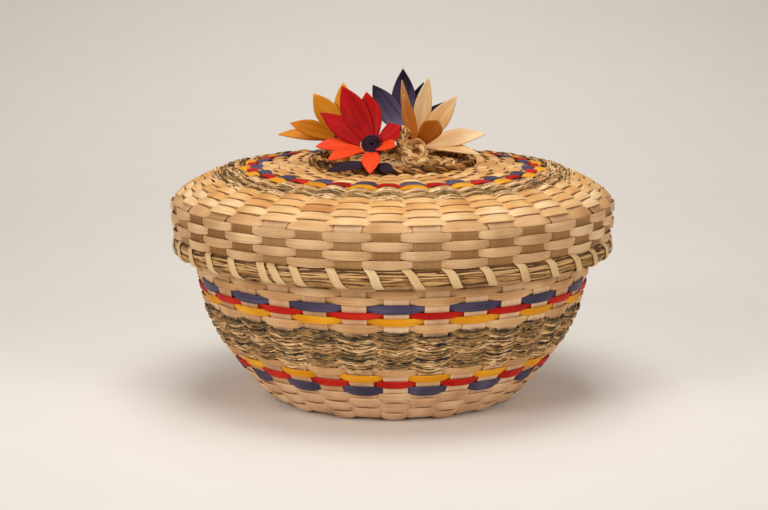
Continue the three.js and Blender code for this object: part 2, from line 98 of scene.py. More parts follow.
sweep_line = [(sweep_front, 0)]
for i in range(sweep_steps + 1):
    lean = pi / 2 * i / sweep_steps
    sweep_line.append((sweep_turn + sweep_bend * sin(lean), sweep_bend * (1 - cos(lean))))
sweep_line.append((sweep_turn + sweep_bend, sweep_top))
sweep_corners = [(side * sweep_half_width, y, z) for y, z in sweep_line for side in (-1, 1)]
sweep_faces = [(2 * i, 2 * i + 1, 2 * i + 3, 2 * i + 2) for i in range(len(sweep_line) - 1)]
sweep_mesh = bpy.data.meshes.new("paper_sweep")
sweep_mesh.from_pydata(sweep_corners, [], sweep_faces)
sweep_mesh.shade_smooth()
sweep_mesh.materials.append(matt_paper())
sweep = bpy.data.objects.new("paper_sweep", sweep_mesh)
scene.collection.objects.link(sweep)

camera_data = bpy.data.cameras.new("camera")
camera_data.lens = camera_lens
camera = bpy.data.objects.new("camera", camera_data)
camera.location = camera_place
camera.rotation_euler = (pi / 2 - camera_pitch, 0, 0)
scene.collection.objects.link(camera)
scene.camera = camera

# Each lamp: where it stands and what it points at in millimetres, its power, and the spread of its beam
lamps = {
    "left_lamp": ((-850, -850, 540), (0, 0, 40), 0.72, 50),
    "right_lamp": ((800, -900, 540), (0, 0, 40), 0.5, 50),
    "top_lamp": ((0, -200, 1000), (0, 0, 80), 1.9, 110),
    "paper_lamp": ((0, 900, 1600), (0, 1700, 100), 8, 130),
}
for name, (place, aim, power, spread) in lamps.items():
    lamp_data = bpy.data.lights.new(name, "AREA")
    lamp_data.energy = power
    lamp_data.size = lamp_size
    lamp_data.spread = radians(spread)
    lamp = bpy.data.objects.new(name, lamp_data)
    lamp.location = Vector(place) * mm
    lamp.rotation_euler = (Vector(aim) - Vector(place)).to_track_quat("-Z", "Y").to_euler()
    scene.collection.objects.link(lamp)

world = bpy.data.worlds.new("room light")
world.use_nodes = True
world.node_tree.nodes["Background"].inputs["Color"].default_value = linear(room_light)
world.node_tree.nodes["Background"].inputs["Strength"].default_value = room_level
scene.world = world

# Base uprights: flat splints pounded and split from black ash, thinned smooth, which cross under the
# middle of the bottom, turn up at the foot and run up the bowl to the rim. The weaving holds them.
splint = 0.7 * mm
hub_radius = 16 * mm  # where the weaving starts
hub_middle = 0.4 * mm
base_uprights = 32
base_turn = radians(0.6)
base_upright_width = 13.2 * mm
upright_crowd = 0.9  # the most of the pitch that an upright may fill
bottom_height = 1.3 * mm
bottom_edge = 65 * mm
foot_radius = 68 * mm
belly_radius = 111 * mm
belly_height = 85 * mm
wall_start = 2.6 * mm
rim_height = 116.5 * mm
wall_steps = 48
seam = 0.02 * mm  # points that lie nearer than this are joined
grain_length = 32 * mm
grain_width = 0.55 * mm
patch_size = 19 * mm
grain_depth = 0.16 * mm
splint_apart = 0.07  # how far apart two splints lie in the pattern of the grain
upright_points = 97  # points along an upright
section_points = 13  # points round a splint
upright_end = 1000.0  # how sharply an upright closes at its ends
upright_stray = 0.03  # how far an upright strays from its place, as a share of the pitch
splint_details = (4, 2)  # octaves of the streaks and of the patches
splint_weights = (0.9, 0.5, 0.6, -0.5)  # of the streaks, the patches and the tone, and what is added to them
fibre_shine = 0.12


def bowl_radius(height):
    """Radius of the middle of the base's wall at a height."""
    left = max(0, 1 - height / belly_height)
    return foot_radius + (belly_radius - foot_radius) * (1 - left * left)


def path_curve(name, points, closed=False, tilt=0):
    """A curve with one poly line through a list of points, for a tree to follow."""
    curve = bpy.data.curves.new(name, "CURVE")
    curve.dimensions = "3D"
    curve.twist_mode = "Z_UP"
    spline = curve.splines.new("POLY")
    spline.points.add(len(points) - 1)
    spline.use_cyclic_u = closed
    for knot, point in zip(spline.points, points):
        knot.co = (*point, 1)
        knot.tilt = tilt
    path = bpy.data.objects.new(name, curve)
    scene.collection.objects.link(path)
    return path


def new_tree(name, inputs, outputs=None):
    """A Geometry Nodes tree with named inputs. Gives back the tree and its input sockets by name."""
    tree = bpy.data.node_groups.new(name, "GeometryNodeTree")
    for label, kind in (outputs or {"Geometry": "Geometry"}).items():
        tree.interface.new_socket(label, in_out="OUTPUT", socket_type="NodeSocket" + kind)
    for label, kind in inputs.items():
        tree.interface.new_socket(label, in_out="INPUT", socket_type="NodeSocket" + kind)
    start = tree.nodes.new("NodeGroupInput")
    return tree, {label: start.outputs[label] for label in inputs}


def copies(tree, shape, count, label):
    """Copies of a shape. Gives back the copies, and the number of the copy that a point belongs to."""
    index = add(tree, "GeometryNodeInputIndex")
    points = add(tree, "GeometryNodePoints", count)
    numbered = add(tree, "GeometryNodeStoreNamedAttribute", points, None, label, index,
                   data_type="FLOAT", domain="POINT")
    placed = add(tree, "GeometryNodeInstanceOnPoints", numbered, None, shape)
    loose = add(tree, "GeometryNodeRealizeInstances", placed)
    return loose, add(tree, "GeometryNodeInputNamedAttribute", label, data_type="FLOAT")


def strip_ends(tree, x, sharpness, endless=0.0):
    """How far along its strip a point lies, and a share that falls from 1 to 0 at the strip's two ends."""
    reached = add(tree, "ShaderNodeMath", x, 0.5, operation="ADD", use_clamp=True)
    left = add(tree, "ShaderNodeMath", 1.0, reached, operation="SUBTRACT")
    nearer = add(tree, "ShaderNodeMath", reached, left, operation="MINIMUM")
    full = add(tree, "ShaderNodeMath", nearer, sharpness, endless, operation="MULTIPLY_ADD", use_clamp=True)
    return reached, full


def end_tree(tree, geometry, grain, tone, place, material):
    """Ends a tree: stores what the material reads, moves the points to their places and dresses the mesh."""
    grained = add(tree, "GeometryNodeStoreNamedAttribute", geometry, None, "grain", grain,
                  data_type="FLOAT_VECTOR", domain="POINT")
    toned = add(tree, "GeometryNodeStoreNamedAttribute", grained, None, "tone", tone,
                data_type="FLOAT", domain="POINT")
    shaped = add(tree, "GeometryNodeSetPosition", toned, None, place)
    closed = add(tree, "GeometryNodeMergeByDistance", shaped, None, seam)
    smooth = add(tree, "GeometryNodeSetShadeSmooth", closed)
    real = add(tree, "GeometryNodeRealizeInstances", smooth)
    dressed = add(tree, "GeometryNodeSetMaterial", real, None, material)
    tree.links.new(dressed, tree.nodes.new("NodeGroupOutput").inputs[0])
    return tree


def outward_faces(mesh):
    """Turns the faces of a closed mesh outwards."""
    shape = bmesh.new()
    shape.from_mesh(mesh)
    bmesh.ops.recalc_face_normals(shape, faces=shape.faces)
    shape.to_mesh(mesh)
    shape.free()


def settle(piece, name, body, extra):
    """Keeps a piece as a plain mesh and ties it to its body and, unless it is extra, to its CAD node."""
    mesh = bpy.data.meshes.new_from_object(piece.evaluated_get(bpy.context.evaluated_depsgraph_get()))
    piece.modifiers.clear()
    mesh.name = name
    piece.data = mesh
    outward_faces(mesh)
    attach(piece, body)
    if not extra:
        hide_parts(name)


def make(name, tree, body, slot, extra=False, **sizes):
    """Makes a piece by running a tree with its sizes."""
    piece = bpy.data.objects.new(name + "_detail", bpy.data.meshes.new(name))
    scene.collection.objects.link(piece)
    grown = piece.modifiers.new("shape", "NODES")
    grown.node_group = tree
    for item in tree.interface.items_tree:
        if item.in_out == "INPUT":
            value = sizes[item.name.lower().replace(" ", "_")]
            grown[item.identifier] = float(value) if item.socket_type == "NodeSocketFloat" else value
    settle(piece, name, body, extra)


def squared_wave(tree, turn, wave, power):
    """A wave round a turn, and the same wave with its tops squared off by a power below one."""
    swing = add(tree, "ShaderNodeMath", turn, operation=wave)
    size = add(tree, "ShaderNodeMath", swing, operation="ABSOLUTE")
    boxed = add(tree, "ShaderNodeMath", size, power, operation="POWER")
    side = add(tree, "ShaderNodeMath", swing, operation="SIGN")
    return swing, add(tree, "ShaderNodeMath", boxed, side, operation="MULTIPLY")


def strip_section_tree():
    """The outline of a thin splint: flat faces, with edges that are only slightly rounded."""
    tree, given = new_tree("strip section", {"Round": "Float"}, {"Across": "Float", "Through": "Float"})
    turn = add(tree, "ShaderNodeMath", given["Round"], tau, operation="MULTIPLY")
    end = tree.nodes.new("NodeGroupOutput")
    for label, wave, power in (("Across", "COSINE", 0.1), ("Through", "SINE", 0.45)):
        swing, squared = squared_wave(tree, turn, wave, power)
        tree.links.new(squared, end.inputs[label])
    return tree


strip_section = strip_section_tree()


def strip_point(tree):
    """Where a point lies along its strip, across it and through it."""
    x = add(tree, "ShaderNodeSeparateXYZ", add(tree, "GeometryNodeInputPosition"))
    across = add(tree, "GeometryNodeGroup", x.node.outputs["Y"], node_tree=strip_section)
    return x, across, across.node.outputs["Through"]


def uprights_tree():
    """Splints side by side round the axis, each following a profile from one end to the other."""
    tree, given = new_tree("splint uprights", {
        "Profile": "Object", "Count": "Int", "Turn": "Float", "Width": "Float", "Crowd": "Float",
        "Thickness": "Float", "Stray": "Float", "Seed": "Int", "Material": "Material"})
    strip = add(tree, "GeometryNodeMeshGrid", 1, 1, upright_points, section_points)
    loose, upright = copies(tree, strip, given["Count"], "upright")
    x, across, through = strip_point(tree)
    reached, closed = strip_ends(tree, x, upright_end)
    curve = add(tree, "GeometryNodeObjectInfo", given["Profile"], output="Geometry")
    middle = add(tree, "GeometryNodeSampleCurve", curve, None, reached, mode="FACTOR", output="Position")
    tangent = middle.node.outputs["Tangent"]
    normal = add(tree, "ShaderNodeVectorMath", (1, 0, 0), tangent, operation="CROSS_PRODUCT")
    # Narrower where the uprights crowd together near the middle
    radius = add(tree, "ShaderNodeSeparateXYZ", middle, output="Y")
    pitch = add(tree, "ShaderNodeMath", radius, given["Count"], operation="DIVIDE")
    room = add(tree, "ShaderNodeMath", pitch, given["Crowd"], operation="MULTIPLY")
    room = add(tree, "ShaderNodeMath", room, -pi, operation="MULTIPLY")
    half = add(tree, "ShaderNodeMath", given["Width"], 0.5, operation="MULTIPLY")
    half = add(tree, "ShaderNodeMath", half, room, operation="MINIMUM")
    half = add(tree, "ShaderNodeMath", half, closed, operation="MULTIPLY")
    aside = add(tree, "ShaderNodeMath", half, across, operation="MULTIPLY")
    out = add(tree, "ShaderNodeMath", through, given["Thickness"], operation="MULTIPLY")
    out = add(tree, "ShaderNodeMath", out, 0.5, operation="MULTIPLY")
    out = add(tree, "ShaderNodeMath", out, closed, operation="MULTIPLY")
    flat = add(tree, "ShaderNodeVectorMath", normal, out, middle, operation="MULTIPLY_ADD")
    flat = add(tree, "ShaderNodeVectorMath", flat, add(tree, "ShaderNodeCombineXYZ", aside), operation="ADD")
    # Turned to its place round the axis
    stray = add(tree, "FunctionNodeRandomValue", -1.0, 1.0, upright, given["Seed"], data_type="FLOAT")
    place = add(tree, "ShaderNodeMath", stray, given["Stray"], upright, operation="MULTIPLY_ADD")
    share = add(tree, "ShaderNodeMath", place, given["Count"], operation="DIVIDE")
    angle = add(tree, "ShaderNodeMath", share, tau, given["Turn"], operation="MULTIPLY_ADD")
    stood = add(tree, "ShaderNodeVectorRotate", flat, (0, 0, 0), angle, rotation_type="Z_AXIS")
    length = add(tree, "ShaderNodeMath", reached, add(tree, "GeometryNodeCurveLength", curve),
                 operation="MULTIPLY")
    apart = add(tree, "ShaderNodeMath", upright, splint_apart, operation="MULTIPLY")
    grain = add(tree, "ShaderNodeCombineXYZ", length, apart, aside)
    tone = add(tree, "FunctionNodeRandomValue", 0.0, 1.0, upright, given["Seed"], data_type="FLOAT")
    return end_tree(tree, loose, grain, tone, stood, given["Material"])


def streaked(name, colours, length, width, patch, details, weights, roughness):
    """A plant fibre: streaks along the grain, patches and the piece's own tone, through a ramp of colours."""
    material = bpy.data.materials.new(name)
    material.use_nodes = True
    tree = material.node_tree
    shader = tree.nodes["Principled BSDF"]
    grain = add(tree, "ShaderNodeAttribute", attribute_name="grain", output="Vector")
    tone = add(tree, "ShaderNodeAttribute", attribute_name="tone", output="Fac")
    place = add(tree, "ShaderNodeTexCoord", output="Object")
    drawn = add(tree, "ShaderNodeMapping", grain, None, None, (1 / length, 1 / length, 1 / width))
    streaks = add(tree, "ShaderNodeTexNoise", drawn, 1, details[0], 0.6)
    patches = add(tree, "ShaderNodeTexNoise", place, 1 / patch, details[1])
    shade = add(tree, "ShaderNodeMath", streaks, weights[0], weights[3], operation="MULTIPLY_ADD")
    shade = add(tree, "ShaderNodeMath", patches, weights[1], shade, operation="MULTIPLY_ADD")
    shade = add(tree, "ShaderNodeMath", tone, weights[2], shade, operation="MULTIPLY_ADD", use_clamp=True)
    colour = add(tree, "ShaderNodeValToRGB", shade)
    stops = colour.node.color_ramp.elements
    stops[0].color = linear(colours[0])
    stops[1].color = linear(colours[-1])
    for i, middle in enumerate(colours[1:-1], 1):
        stops.new(i / (len(colours) - 1)).color = linear(middle)
    bump = add(tree, "ShaderNodeBump", 0.5, grain_depth)
    tree.links.new(streaks, bump.node.inputs["Height"])
    tree.links.new(colour, shader.inputs["Base Color"])
    tree.links.new(bump, shader.inputs["Normal"])
    shader.inputs["Roughness"].default_value = roughness
    shader.inputs["Specular IOR Level"].default_value = fibre_shine
    return material


def ash_splint(name, dark, middle, light, roughness=0.5):
    """Split ash: a satin, faintly ribbed face with fine streaks along the splint and uneven tone."""
    return streaked(name, [dark, middle, light], grain_length, grain_width, patch_size, splint_details,
                    splint_weights, roughness)


upright_colours = ("#b08158", "#d6aa80", "#edcda6")
natural_ash = ash_splint("natural ash splint", "#a06f44", "#c99a68", "#e6c191")
upright_ash = ash_splint("pale ash upright", *upright_colours)
base_line = [(hub_middle, bottom_height), (bottom_edge, bottom_height)]
for i in range(wall_steps + 1):
    height = wall_start + (rim_height - wall_start) * i / wall_steps
    base_line.append((bowl_radius(height), height))
base_profile = path_curve("base_profile", [(0, -radius, height) for radius, height in base_line])
standing_splints = uprights_tree()
make("base_uprights", standing_splints, "base", "ash_natural",
     profile=base_profile, count=base_uprights, turn=base_turn, width=base_upright_width,
     crowd=upright_crowd, thickness=splint, stray=upright_stray, seed=3, material=upright_ash)

# Base bottom: narrow ash rounds woven in and out of the crossed uprights, from the hub out to the foot.
# They start the basket and lie flat on the table.
weaver = 0.75 * mm
bottom_rounds = 12
bottom_round_width = (bottom_edge - hub_radius) / bottom_rounds
bottom_reach = 0.6 * mm
row_wander = 0.5 * mm
row_steps = 10.0  # steps of a row from one upright to the next
row_apart = 7.3  # keeps the noise of one row apart from that of the next
row_layer = 0.11  # keeps the grain of one row apart from that of the next
row_drift = 6  # how often a row wanders in one radius of its ring
row_blotch = 4  # how often its tone changes


def weave_swing(tree, given, x, row):
    """A point's angle round the axis, and a swing from 1 over an upright to -1 under the next."""
    angle = add(tree, "ShaderNodeMath", x, tau, operation="MULTIPLY")
    turned = add(tree, "ShaderNodeMath", angle, given["Turn"], operation="SUBTRACT")
    waves = add(tree, "ShaderNodeMath", given["Uprights"], 0.5, operation="MULTIPLY")
    side = add(tree, "ShaderNodeMath", given["First over"], row, operation="ADD")
    start = add(tree, "ShaderNodeMath", side, pi, operation="MULTIPLY")
    swing = add(tree, "ShaderNodeMath", turned, waves, start, operation="MULTIPLY_ADD")
    return angle, add(tree, "ShaderNodeMath", swing, operation="COSINE")


def ring_spot(tree, angle, level):
    """A place on a ring, where a noise closes on itself. Each level of the ring has a noise of its own."""
    start = add(tree, "ShaderNodeCombineXYZ", 1, 0, level)
    return add(tree, "ShaderNodeVectorRotate", start, (0, 0, 0), angle, rotation_type="Z_AXIS")


def woven_rows_tree():
    """Splint rows woven round the axis, over one upright and under the next, along a profile."""
    tree, given = new_tree("woven splint rows", {
        "Profile": "Object", "Uprights": "Int", "Turn": "Float", "First over": "Int", "Rows": "Int",
        "Begin": "Float", "Row width": "Float", "Row gap": "Float", "Thickness": "Float", "Over": "Float",
        "Under": "Float", "Squeeze": "Float", "Wander": "Float", "Seed": "Int", "Material": "Material"})
    steps = add(tree, "ShaderNodeMath", given["Uprights"], row_steps, 1.0, operation="MULTIPLY_ADD")
    strip = add(tree, "GeometryNodeMeshGrid", 1, 1, steps, section_points)
    loose, row = copies(tree, strip, given["Rows"], "row")
    x, across, through = strip_point(tree)
    angle, swing = weave_swing(tree, given, x, row)
    # Flatter at its ends, so that a float lies flat on its upright
    swing = add(tree, "ShaderNodeMath", swing, pi / 2, operation="MULTIPLY")
    swing = add(tree, "ShaderNodeMath", swing, operation="SINE")
    under = add(tree, "ShaderNodeMath", given["Under"], -1.0, operation="MULTIPLY")
    reach = add(tree, "ShaderNodeMapRange", swing, -1.0, 1.0, under, given["Over"])
    # The two edges of the row along the profile, with a little wander
    seed = add(tree, "ShaderNodeMath", row, row_apart, given["Seed"], operation="MULTIPLY_ADD")
    round_spot = ring_spot(tree, angle, seed)
    drift = add(tree, "ShaderNodeTexNoise", round_spot, row_drift, 2)
    drift = add(tree, "ShaderNodeMath", drift, 0.5, operation="SUBTRACT")
    drift = add(tree, "ShaderNodeMath", drift, given["Wander"], operation="MULTIPLY")
    begin = add(tree, "ShaderNodeMath", row, given["Row width"], given["Begin"], operation="MULTIPLY_ADD")
    begin = add(tree, "ShaderNodeMath", begin, drift, operation="ADD")
    spare = add(tree, "ShaderNodeMath", given["Row gap"], 0.5, operation="MULTIPLY")
    near = add(tree, "ShaderNodeMath", begin, spare, operation="ADD")
    far = add(tree, "ShaderNodeMath", begin, given["Row width"], operation="ADD")
    far = add(tree, "ShaderNodeMath", far, spare, operation="SUBTRACT")
    curve = add(tree, "GeometryNodeObjectInfo", given["Profile"], output="Geometry")
    low = add(tree, "GeometryNodeSampleCurve", curve, None, near, mode="LENGTH", output="Position")
    high = add(tree, "GeometryNodeSampleCurve", curve, None, far, mode="LENGTH", output="Position")
    rise = add(tree, "ShaderNodeVectorMath", high, low, operation="SUBTRACT")
    lean = add(tree, "ShaderNodeVectorMath", rise, operation="NORMALIZE")
    normal = add(tree, "ShaderNodeVectorMath", (1, 0, 0), lean, operation="CROSS_PRODUCT")
    # Squeezed narrower where it passes behind an upright
    kept = add(tree, "ShaderNodeMath", 1.0, given["Squeeze"], operation="SUBTRACT")
    squeezed = add(tree, "ShaderNodeMapRange", swing, -1.0, 1.0, kept, 1.0)
    across = add(tree, "ShaderNodeMath", across, squeezed, operation="MULTIPLY")
    part = add(tree, "ShaderNodeMath", across, 0.5, 0.5, operation="MULTIPLY_ADD")
    edge = add(tree, "ShaderNodeMix", part, low, high, data_type="VECTOR", clamp_factor=False)
    half = add(tree, "ShaderNodeMath", given["Thickness"], 0.5, operation="MULTIPLY")
    out = add(tree, "ShaderNodeMath", through, half, reach, operation="MULTIPLY_ADD")
    flat = add(tree, "ShaderNodeVectorMath", normal, out, edge, operation="MULTIPLY_ADD")
    stood = add(tree, "ShaderNodeVectorRotate", flat, (0, 0, 0), angle, rotation_type="Z_AXIS")
    width = add(tree, "ShaderNodeMath", across, given["Row width"], operation="MULTIPLY")
    width = add(tree, "ShaderNodeMath", width, 0.5, operation="MULTIPLY")
    ring = add(tree, "ShaderNodeSeparateXYZ", stood)
    layer = add(tree, "ShaderNodeMath", seed, row_layer, width, operation="MULTIPLY_ADD")
    grain = add(tree, "ShaderNodeCombineXYZ", ring, ring.node.outputs["Y"], layer)
    blotch = add(tree, "ShaderNodeTexNoise", round_spot, row_blotch, 2)
    tone = add(tree, "ShaderNodeMapRange", blotch, 0.3, 0.7)
    return end_tree(tree, loose, grain, tone, stood, given["Material"])


woven_rows = woven_rows_tree()
round_base = dict(profile=base_profile, uprights=base_uprights, turn=base_turn)
make("base_bottom_rounds", woven_rows, "base", "ash_natural",
     first_over=1, rows=bottom_rounds, begin=hub_radius - hub_middle, row_width=bottom_round_width,
     row_gap=0.4 * mm, thickness=weaver, over=bottom_reach, under=bottom_reach, squeeze=0.2,
     wander=row_wander, seed=11, material=natural_ash, **round_base)

# Base wall: flat ash weavers laid round the bowl row on row, over one upright and under the next, each
# row starting on the other side. Dyed weavers make two bands: navy, red and yellow, then the reverse.
row_over = 1.35 * mm
row_under = 0.75 * mm
foot_rows = 5
foot_row_width = 4.5 * mm
foot_row_gap = -2.6 * mm  # beaten down so that each float laps over the row below
wall_row_gap = -0.8 * mm
foot_squeeze = 0.55  # how much narrower a row is behind an upright
wall_squeeze = 0.3
navy_ash = ash_splint("navy dyed ash splint", "#2f2a3d", "#474056", "#6a6076")
red_ash = ash_splint("red dyed ash splint", "#860906", "#b3130a", "#d5331a")
yellow_ash = ash_splint("yellow dyed ash splint", "#b8700a", "#dd9414", "#f0b336")
finishes = {"ash_natural": natural_ash, "ash_navy": navy_ash, "ash_red": red_ash, "ash_yellow": yellow_ash}
grass_pair_width = 6.1 * mm
base_rows = [(f"base_foot_row_{i}", foot_row_width, "ash_natural") for i in range(1, foot_rows + 1)]
base_rows += [
    ("base_lower_navy_row", 6.35 * mm, "ash_navy"),
    ("base_lower_red_row", 4.4 * mm, "ash_red"),
    ("base_lower_yellow_row", 4.4 * mm, "ash_yellow"),
    ("base_lower_plain_row", 4.4 * mm, "ash_natural"),
]
base_rows += [(f"base_sweetgrass_row_{i}", grass_pair_width, "sweetgrass") for i in range(1, 5)]
base_rows += [
    ("base_middle_plain_row", 4.35 * mm, "ash_natural"),
    ("base_upper_yellow_row", 3.7 * mm, "ash_yellow"),
    ("base_upper_red_row", 3.1 * mm, "ash_red"),
    ("base_upper_navy_row", 4.5 * mm, "ash_navy"),
]
base_rows += [(f"base_upper_plain_row_{i}", 3.75 * mm, "ash_natural") for i in range(1, 4)]


def length_to(line, count):
    """Length of a profile line up to one of its points."""
    return sum(hypot(b[0] - a[0], b[1] - a[1]) for a, b in zip(line[:count], line[1:count + 1]))


reached = length_to(base_line, 2)
base_grass_rows = []
for number, (name, width, slot) in enumerate(base_rows):
    if slot == "sweetgrass":
        base_grass_rows.append((name, number, reached))
    else:
        beaten = number < foot_rows
        make(name, woven_rows, "base", slot,
             first_over=number, rows=1, begin=reached, row_width=width,
             row_gap=foot_row_gap if beaten else wall_row_gap, thickness=weaver, over=row_over,
             under=row_under, squeeze=foot_squeeze if beaten else wall_squeeze, wander=row_wander,
             seed=20 + number, material=upright_ash if beaten else finishes[slot], **round_base)
    reached += width
wall_top = reached

# Base neck and rim: two wide plain rows that the lid covers, then a stiff ash hoop inside and another
# outside the ends of the uprights, bound together by a narrow splint wound round and round them.
neck_rows = 2
hoop_width = 10 * mm
hoop = 1.0 * mm
hoop_reach = 0.95 * mm  # from the middle of the uprights to the middle of a hoop
binding_width = 4 * mm
binding_half_width = 1.9 * mm
binding_past_hoop = 0.5 * mm
binding_slant = 0.4  # the part of a turn's pitch that the outside of the turn takes
binding_turns = 32
turn_steps = 28.0
turn_length = 0.035  # length of one turn in the pattern of the grain
turn_stray = 0.22  # how far a turn strays, as a share of the pitch
turn_squareness = 0.72  # power that squares off a turn: 1 is round, 0 is square
wound_end = 10000.0  # how sharply a wound splint closes at its ends
rim_middle = 111.4 * mm
neck_top = length_to(base_line, len(base_line) - 1) - hoop_width
neck_row_width = (neck_top - wall_top) / neck_rows
for number in range(neck_rows):
    name = f"base_neck_row_{number + 1}"
    make(name, woven_rows, "base", "ash_natural",
         first_over=len(base_rows) + number, rows=1, begin=wall_top + number * neck_row_width,
         row_width=neck_row_width, row_gap=0.2 * mm, thickness=weaver, over=row_over, under=row_under,
         squeeze=0.1, wander=row_wander, seed=60 + number, material=natural_ash, **round_base)
for name, reach in (("base_outer_hoop", hoop_reach), ("base_inner_hoop", -hoop_reach)):
    make(name, woven_rows, "base", "ash_natural",
         first_over=0, rows=1, begin=neck_top, row_width=hoop_width, row_gap=0, thickness=hoop, over=reach,
         under=-reach, squeeze=0, wander=0, seed=70, material=natural_ash, **round_base)


def wound_splint_tree():
    """A flat splint wound round a rim: down the outside on a slant and up the inside, turn after turn."""
    tree, given = new_tree("wound splint", {
        "Radius": "Float", "Height": "Float", "Half width": "Float", "Half height": "Float", "Turns": "Int",
        "Start": "Float", "Pitch": "Float", "Slant": "Float", "Width": "Float", "Thickness": "Float",
        "Seed": "Int", "Material": "Material"})
    steps = add(tree, "ShaderNodeMath", given["Turns"], turn_steps, 1.0, operation="MULTIPLY_ADD")
    strip = add(tree, "GeometryNodeMeshGrid", 1, 1, steps, section_points)
    x, across, through = strip_point(tree)
    reached, closed = strip_ends(tree, x, wound_end)
    wound = add(tree, "ShaderNodeMath", reached, given["Turns"], operation="MULTIPLY")
    whole = add(tree, "ShaderNodeMath", wound, operation="FLOOR")
    part = add(tree, "ShaderNodeMath", wound, operation="FRACT")
    # Slanting down the outside, then on to the next turn up the inside
    slanted = add(tree, "ShaderNodeMapRange", part, 0.0, 0.5, 0.0, given["Slant"],
                  interpolation_type="SMOOTHSTEP")
    rest = add(tree, "ShaderNodeMath", 1.0, given["Slant"], operation="SUBTRACT")
    back = add(tree, "ShaderNodeMapRange", part, 0.5, 1.0, 0.0, rest)
    stray = add(tree, "ShaderNodeTexNoise", add(tree, "ShaderNodeCombineXYZ", wound, given["Seed"]), 1.7, 1)
    place = add(tree, "ShaderNodeMath", slanted, back, operation="ADD")
    place = add(tree, "ShaderNodeMath", place, whole, operation="ADD")
    place = add(tree, "ShaderNodeMath", stray, turn_stray, place, operation="MULTIPLY_ADD")
    angle = add(tree, "ShaderNodeMath", place, given["Pitch"], given["Start"], operation="MULTIPLY_ADD")
    turn = add(tree, "ShaderNodeMath", part, tau, operation="MULTIPLY")
    half = add(tree, "ShaderNodeMath", given["Thickness"], 0.5, operation="MULTIPLY")
    skin = add(tree, "ShaderNodeMath", through, half, operation="MULTIPLY")
    skin = add(tree, "ShaderNodeMath", skin, closed, operation="MULTIPLY")
    ends = []
    for wave, size in (("SINE", "Half width"), ("COSINE", "Half height")):
        swing, squared = squared_wave(tree, turn, wave, turn_squareness)
        offset = add(tree, "ShaderNodeMath", skin, swing, operation="MULTIPLY")
        ends.append(add(tree, "ShaderNodeMath", squared, given[size], offset, operation="MULTIPLY_ADD"))
    out = add(tree, "ShaderNodeMath", given["Radius"], ends[0], operation="ADD")
    front = add(tree, "ShaderNodeMath", out, -1.0, operation="MULTIPLY")
    up = add(tree, "ShaderNodeMath", given["Height"], ends[1], operation="ADD")
    aside = add(tree, "ShaderNodeMath", across, given["Width"], operation="MULTIPLY")
    aside = add(tree, "ShaderNodeMath", aside, 0.5, operation="MULTIPLY")
    aside = add(tree, "ShaderNodeMath", aside, closed, operation="MULTIPLY")
    flat = add(tree, "ShaderNodeCombineXYZ", aside, front, up)
    stood = add(tree, "ShaderNodeVectorRotate", flat, (0, 0, 0), angle, rotation_type="Z_AXIS")
    along = add(tree, "ShaderNodeMath", wound, turn_length, operation="MULTIPLY")
    grain = add(tree, "ShaderNodeCombineXYZ", along, given["Seed"], aside)
    return end_tree(tree, strip, grain, stray, stood, given["Material"])


wound_splint = wound_splint_tree()
binding_pitch = tau / binding_turns
make("base_rim_binding", wound_splint, "base", "ash_natural",
     radius=rim_middle, height=rim_height - hoop_width / 2, half_width=binding_half_width,
     half_height=hoop_width / 2 + binding_past_hoop, turns=binding_turns,
     start=base_turn + binding_pitch / 2, pitch=binding_pitch, slant=binding_slant, width=binding_width,
     thickness=weaver, seed=80, material=natural_ash)

# Sweetgrass on the base: ten loose strands of dried sweetgrass woven one by one in and out of the uprights.
# Each spreads and sags where it passes over an upright, so that the strands hide the splints behind them.
base_strands = (3, 2, 3, 2)  # strands that stand for each sweetgrass row of the frame
strand_pitch = len(base_strands) * grass_pair_width / sum(base_strands)
blades = 13
blade_radius = 0.37 * mm
blade_streak = 0.3 * mm
blade_length = 16 * mm
grass_patch = 7 * mm
grass_details = (3, 3)
grass_weights = (1.2, 0.9, 1.3, -1.18)
strand_steps = 12.0  # steps of a strand from one upright to the next
blade_apart = 5.3  # keeps the noise of one blade apart from that of the next
blade_drift = 14  # how often a blade changes its lane in one radius of its ring
blade_sway = 3.0  # how far from side to side it does so, as a share of the strand's half width
blade_flatness = 1.4  # width of a blade, as a share of its thickness
tube_points = 6  # points round a blade or a stalk


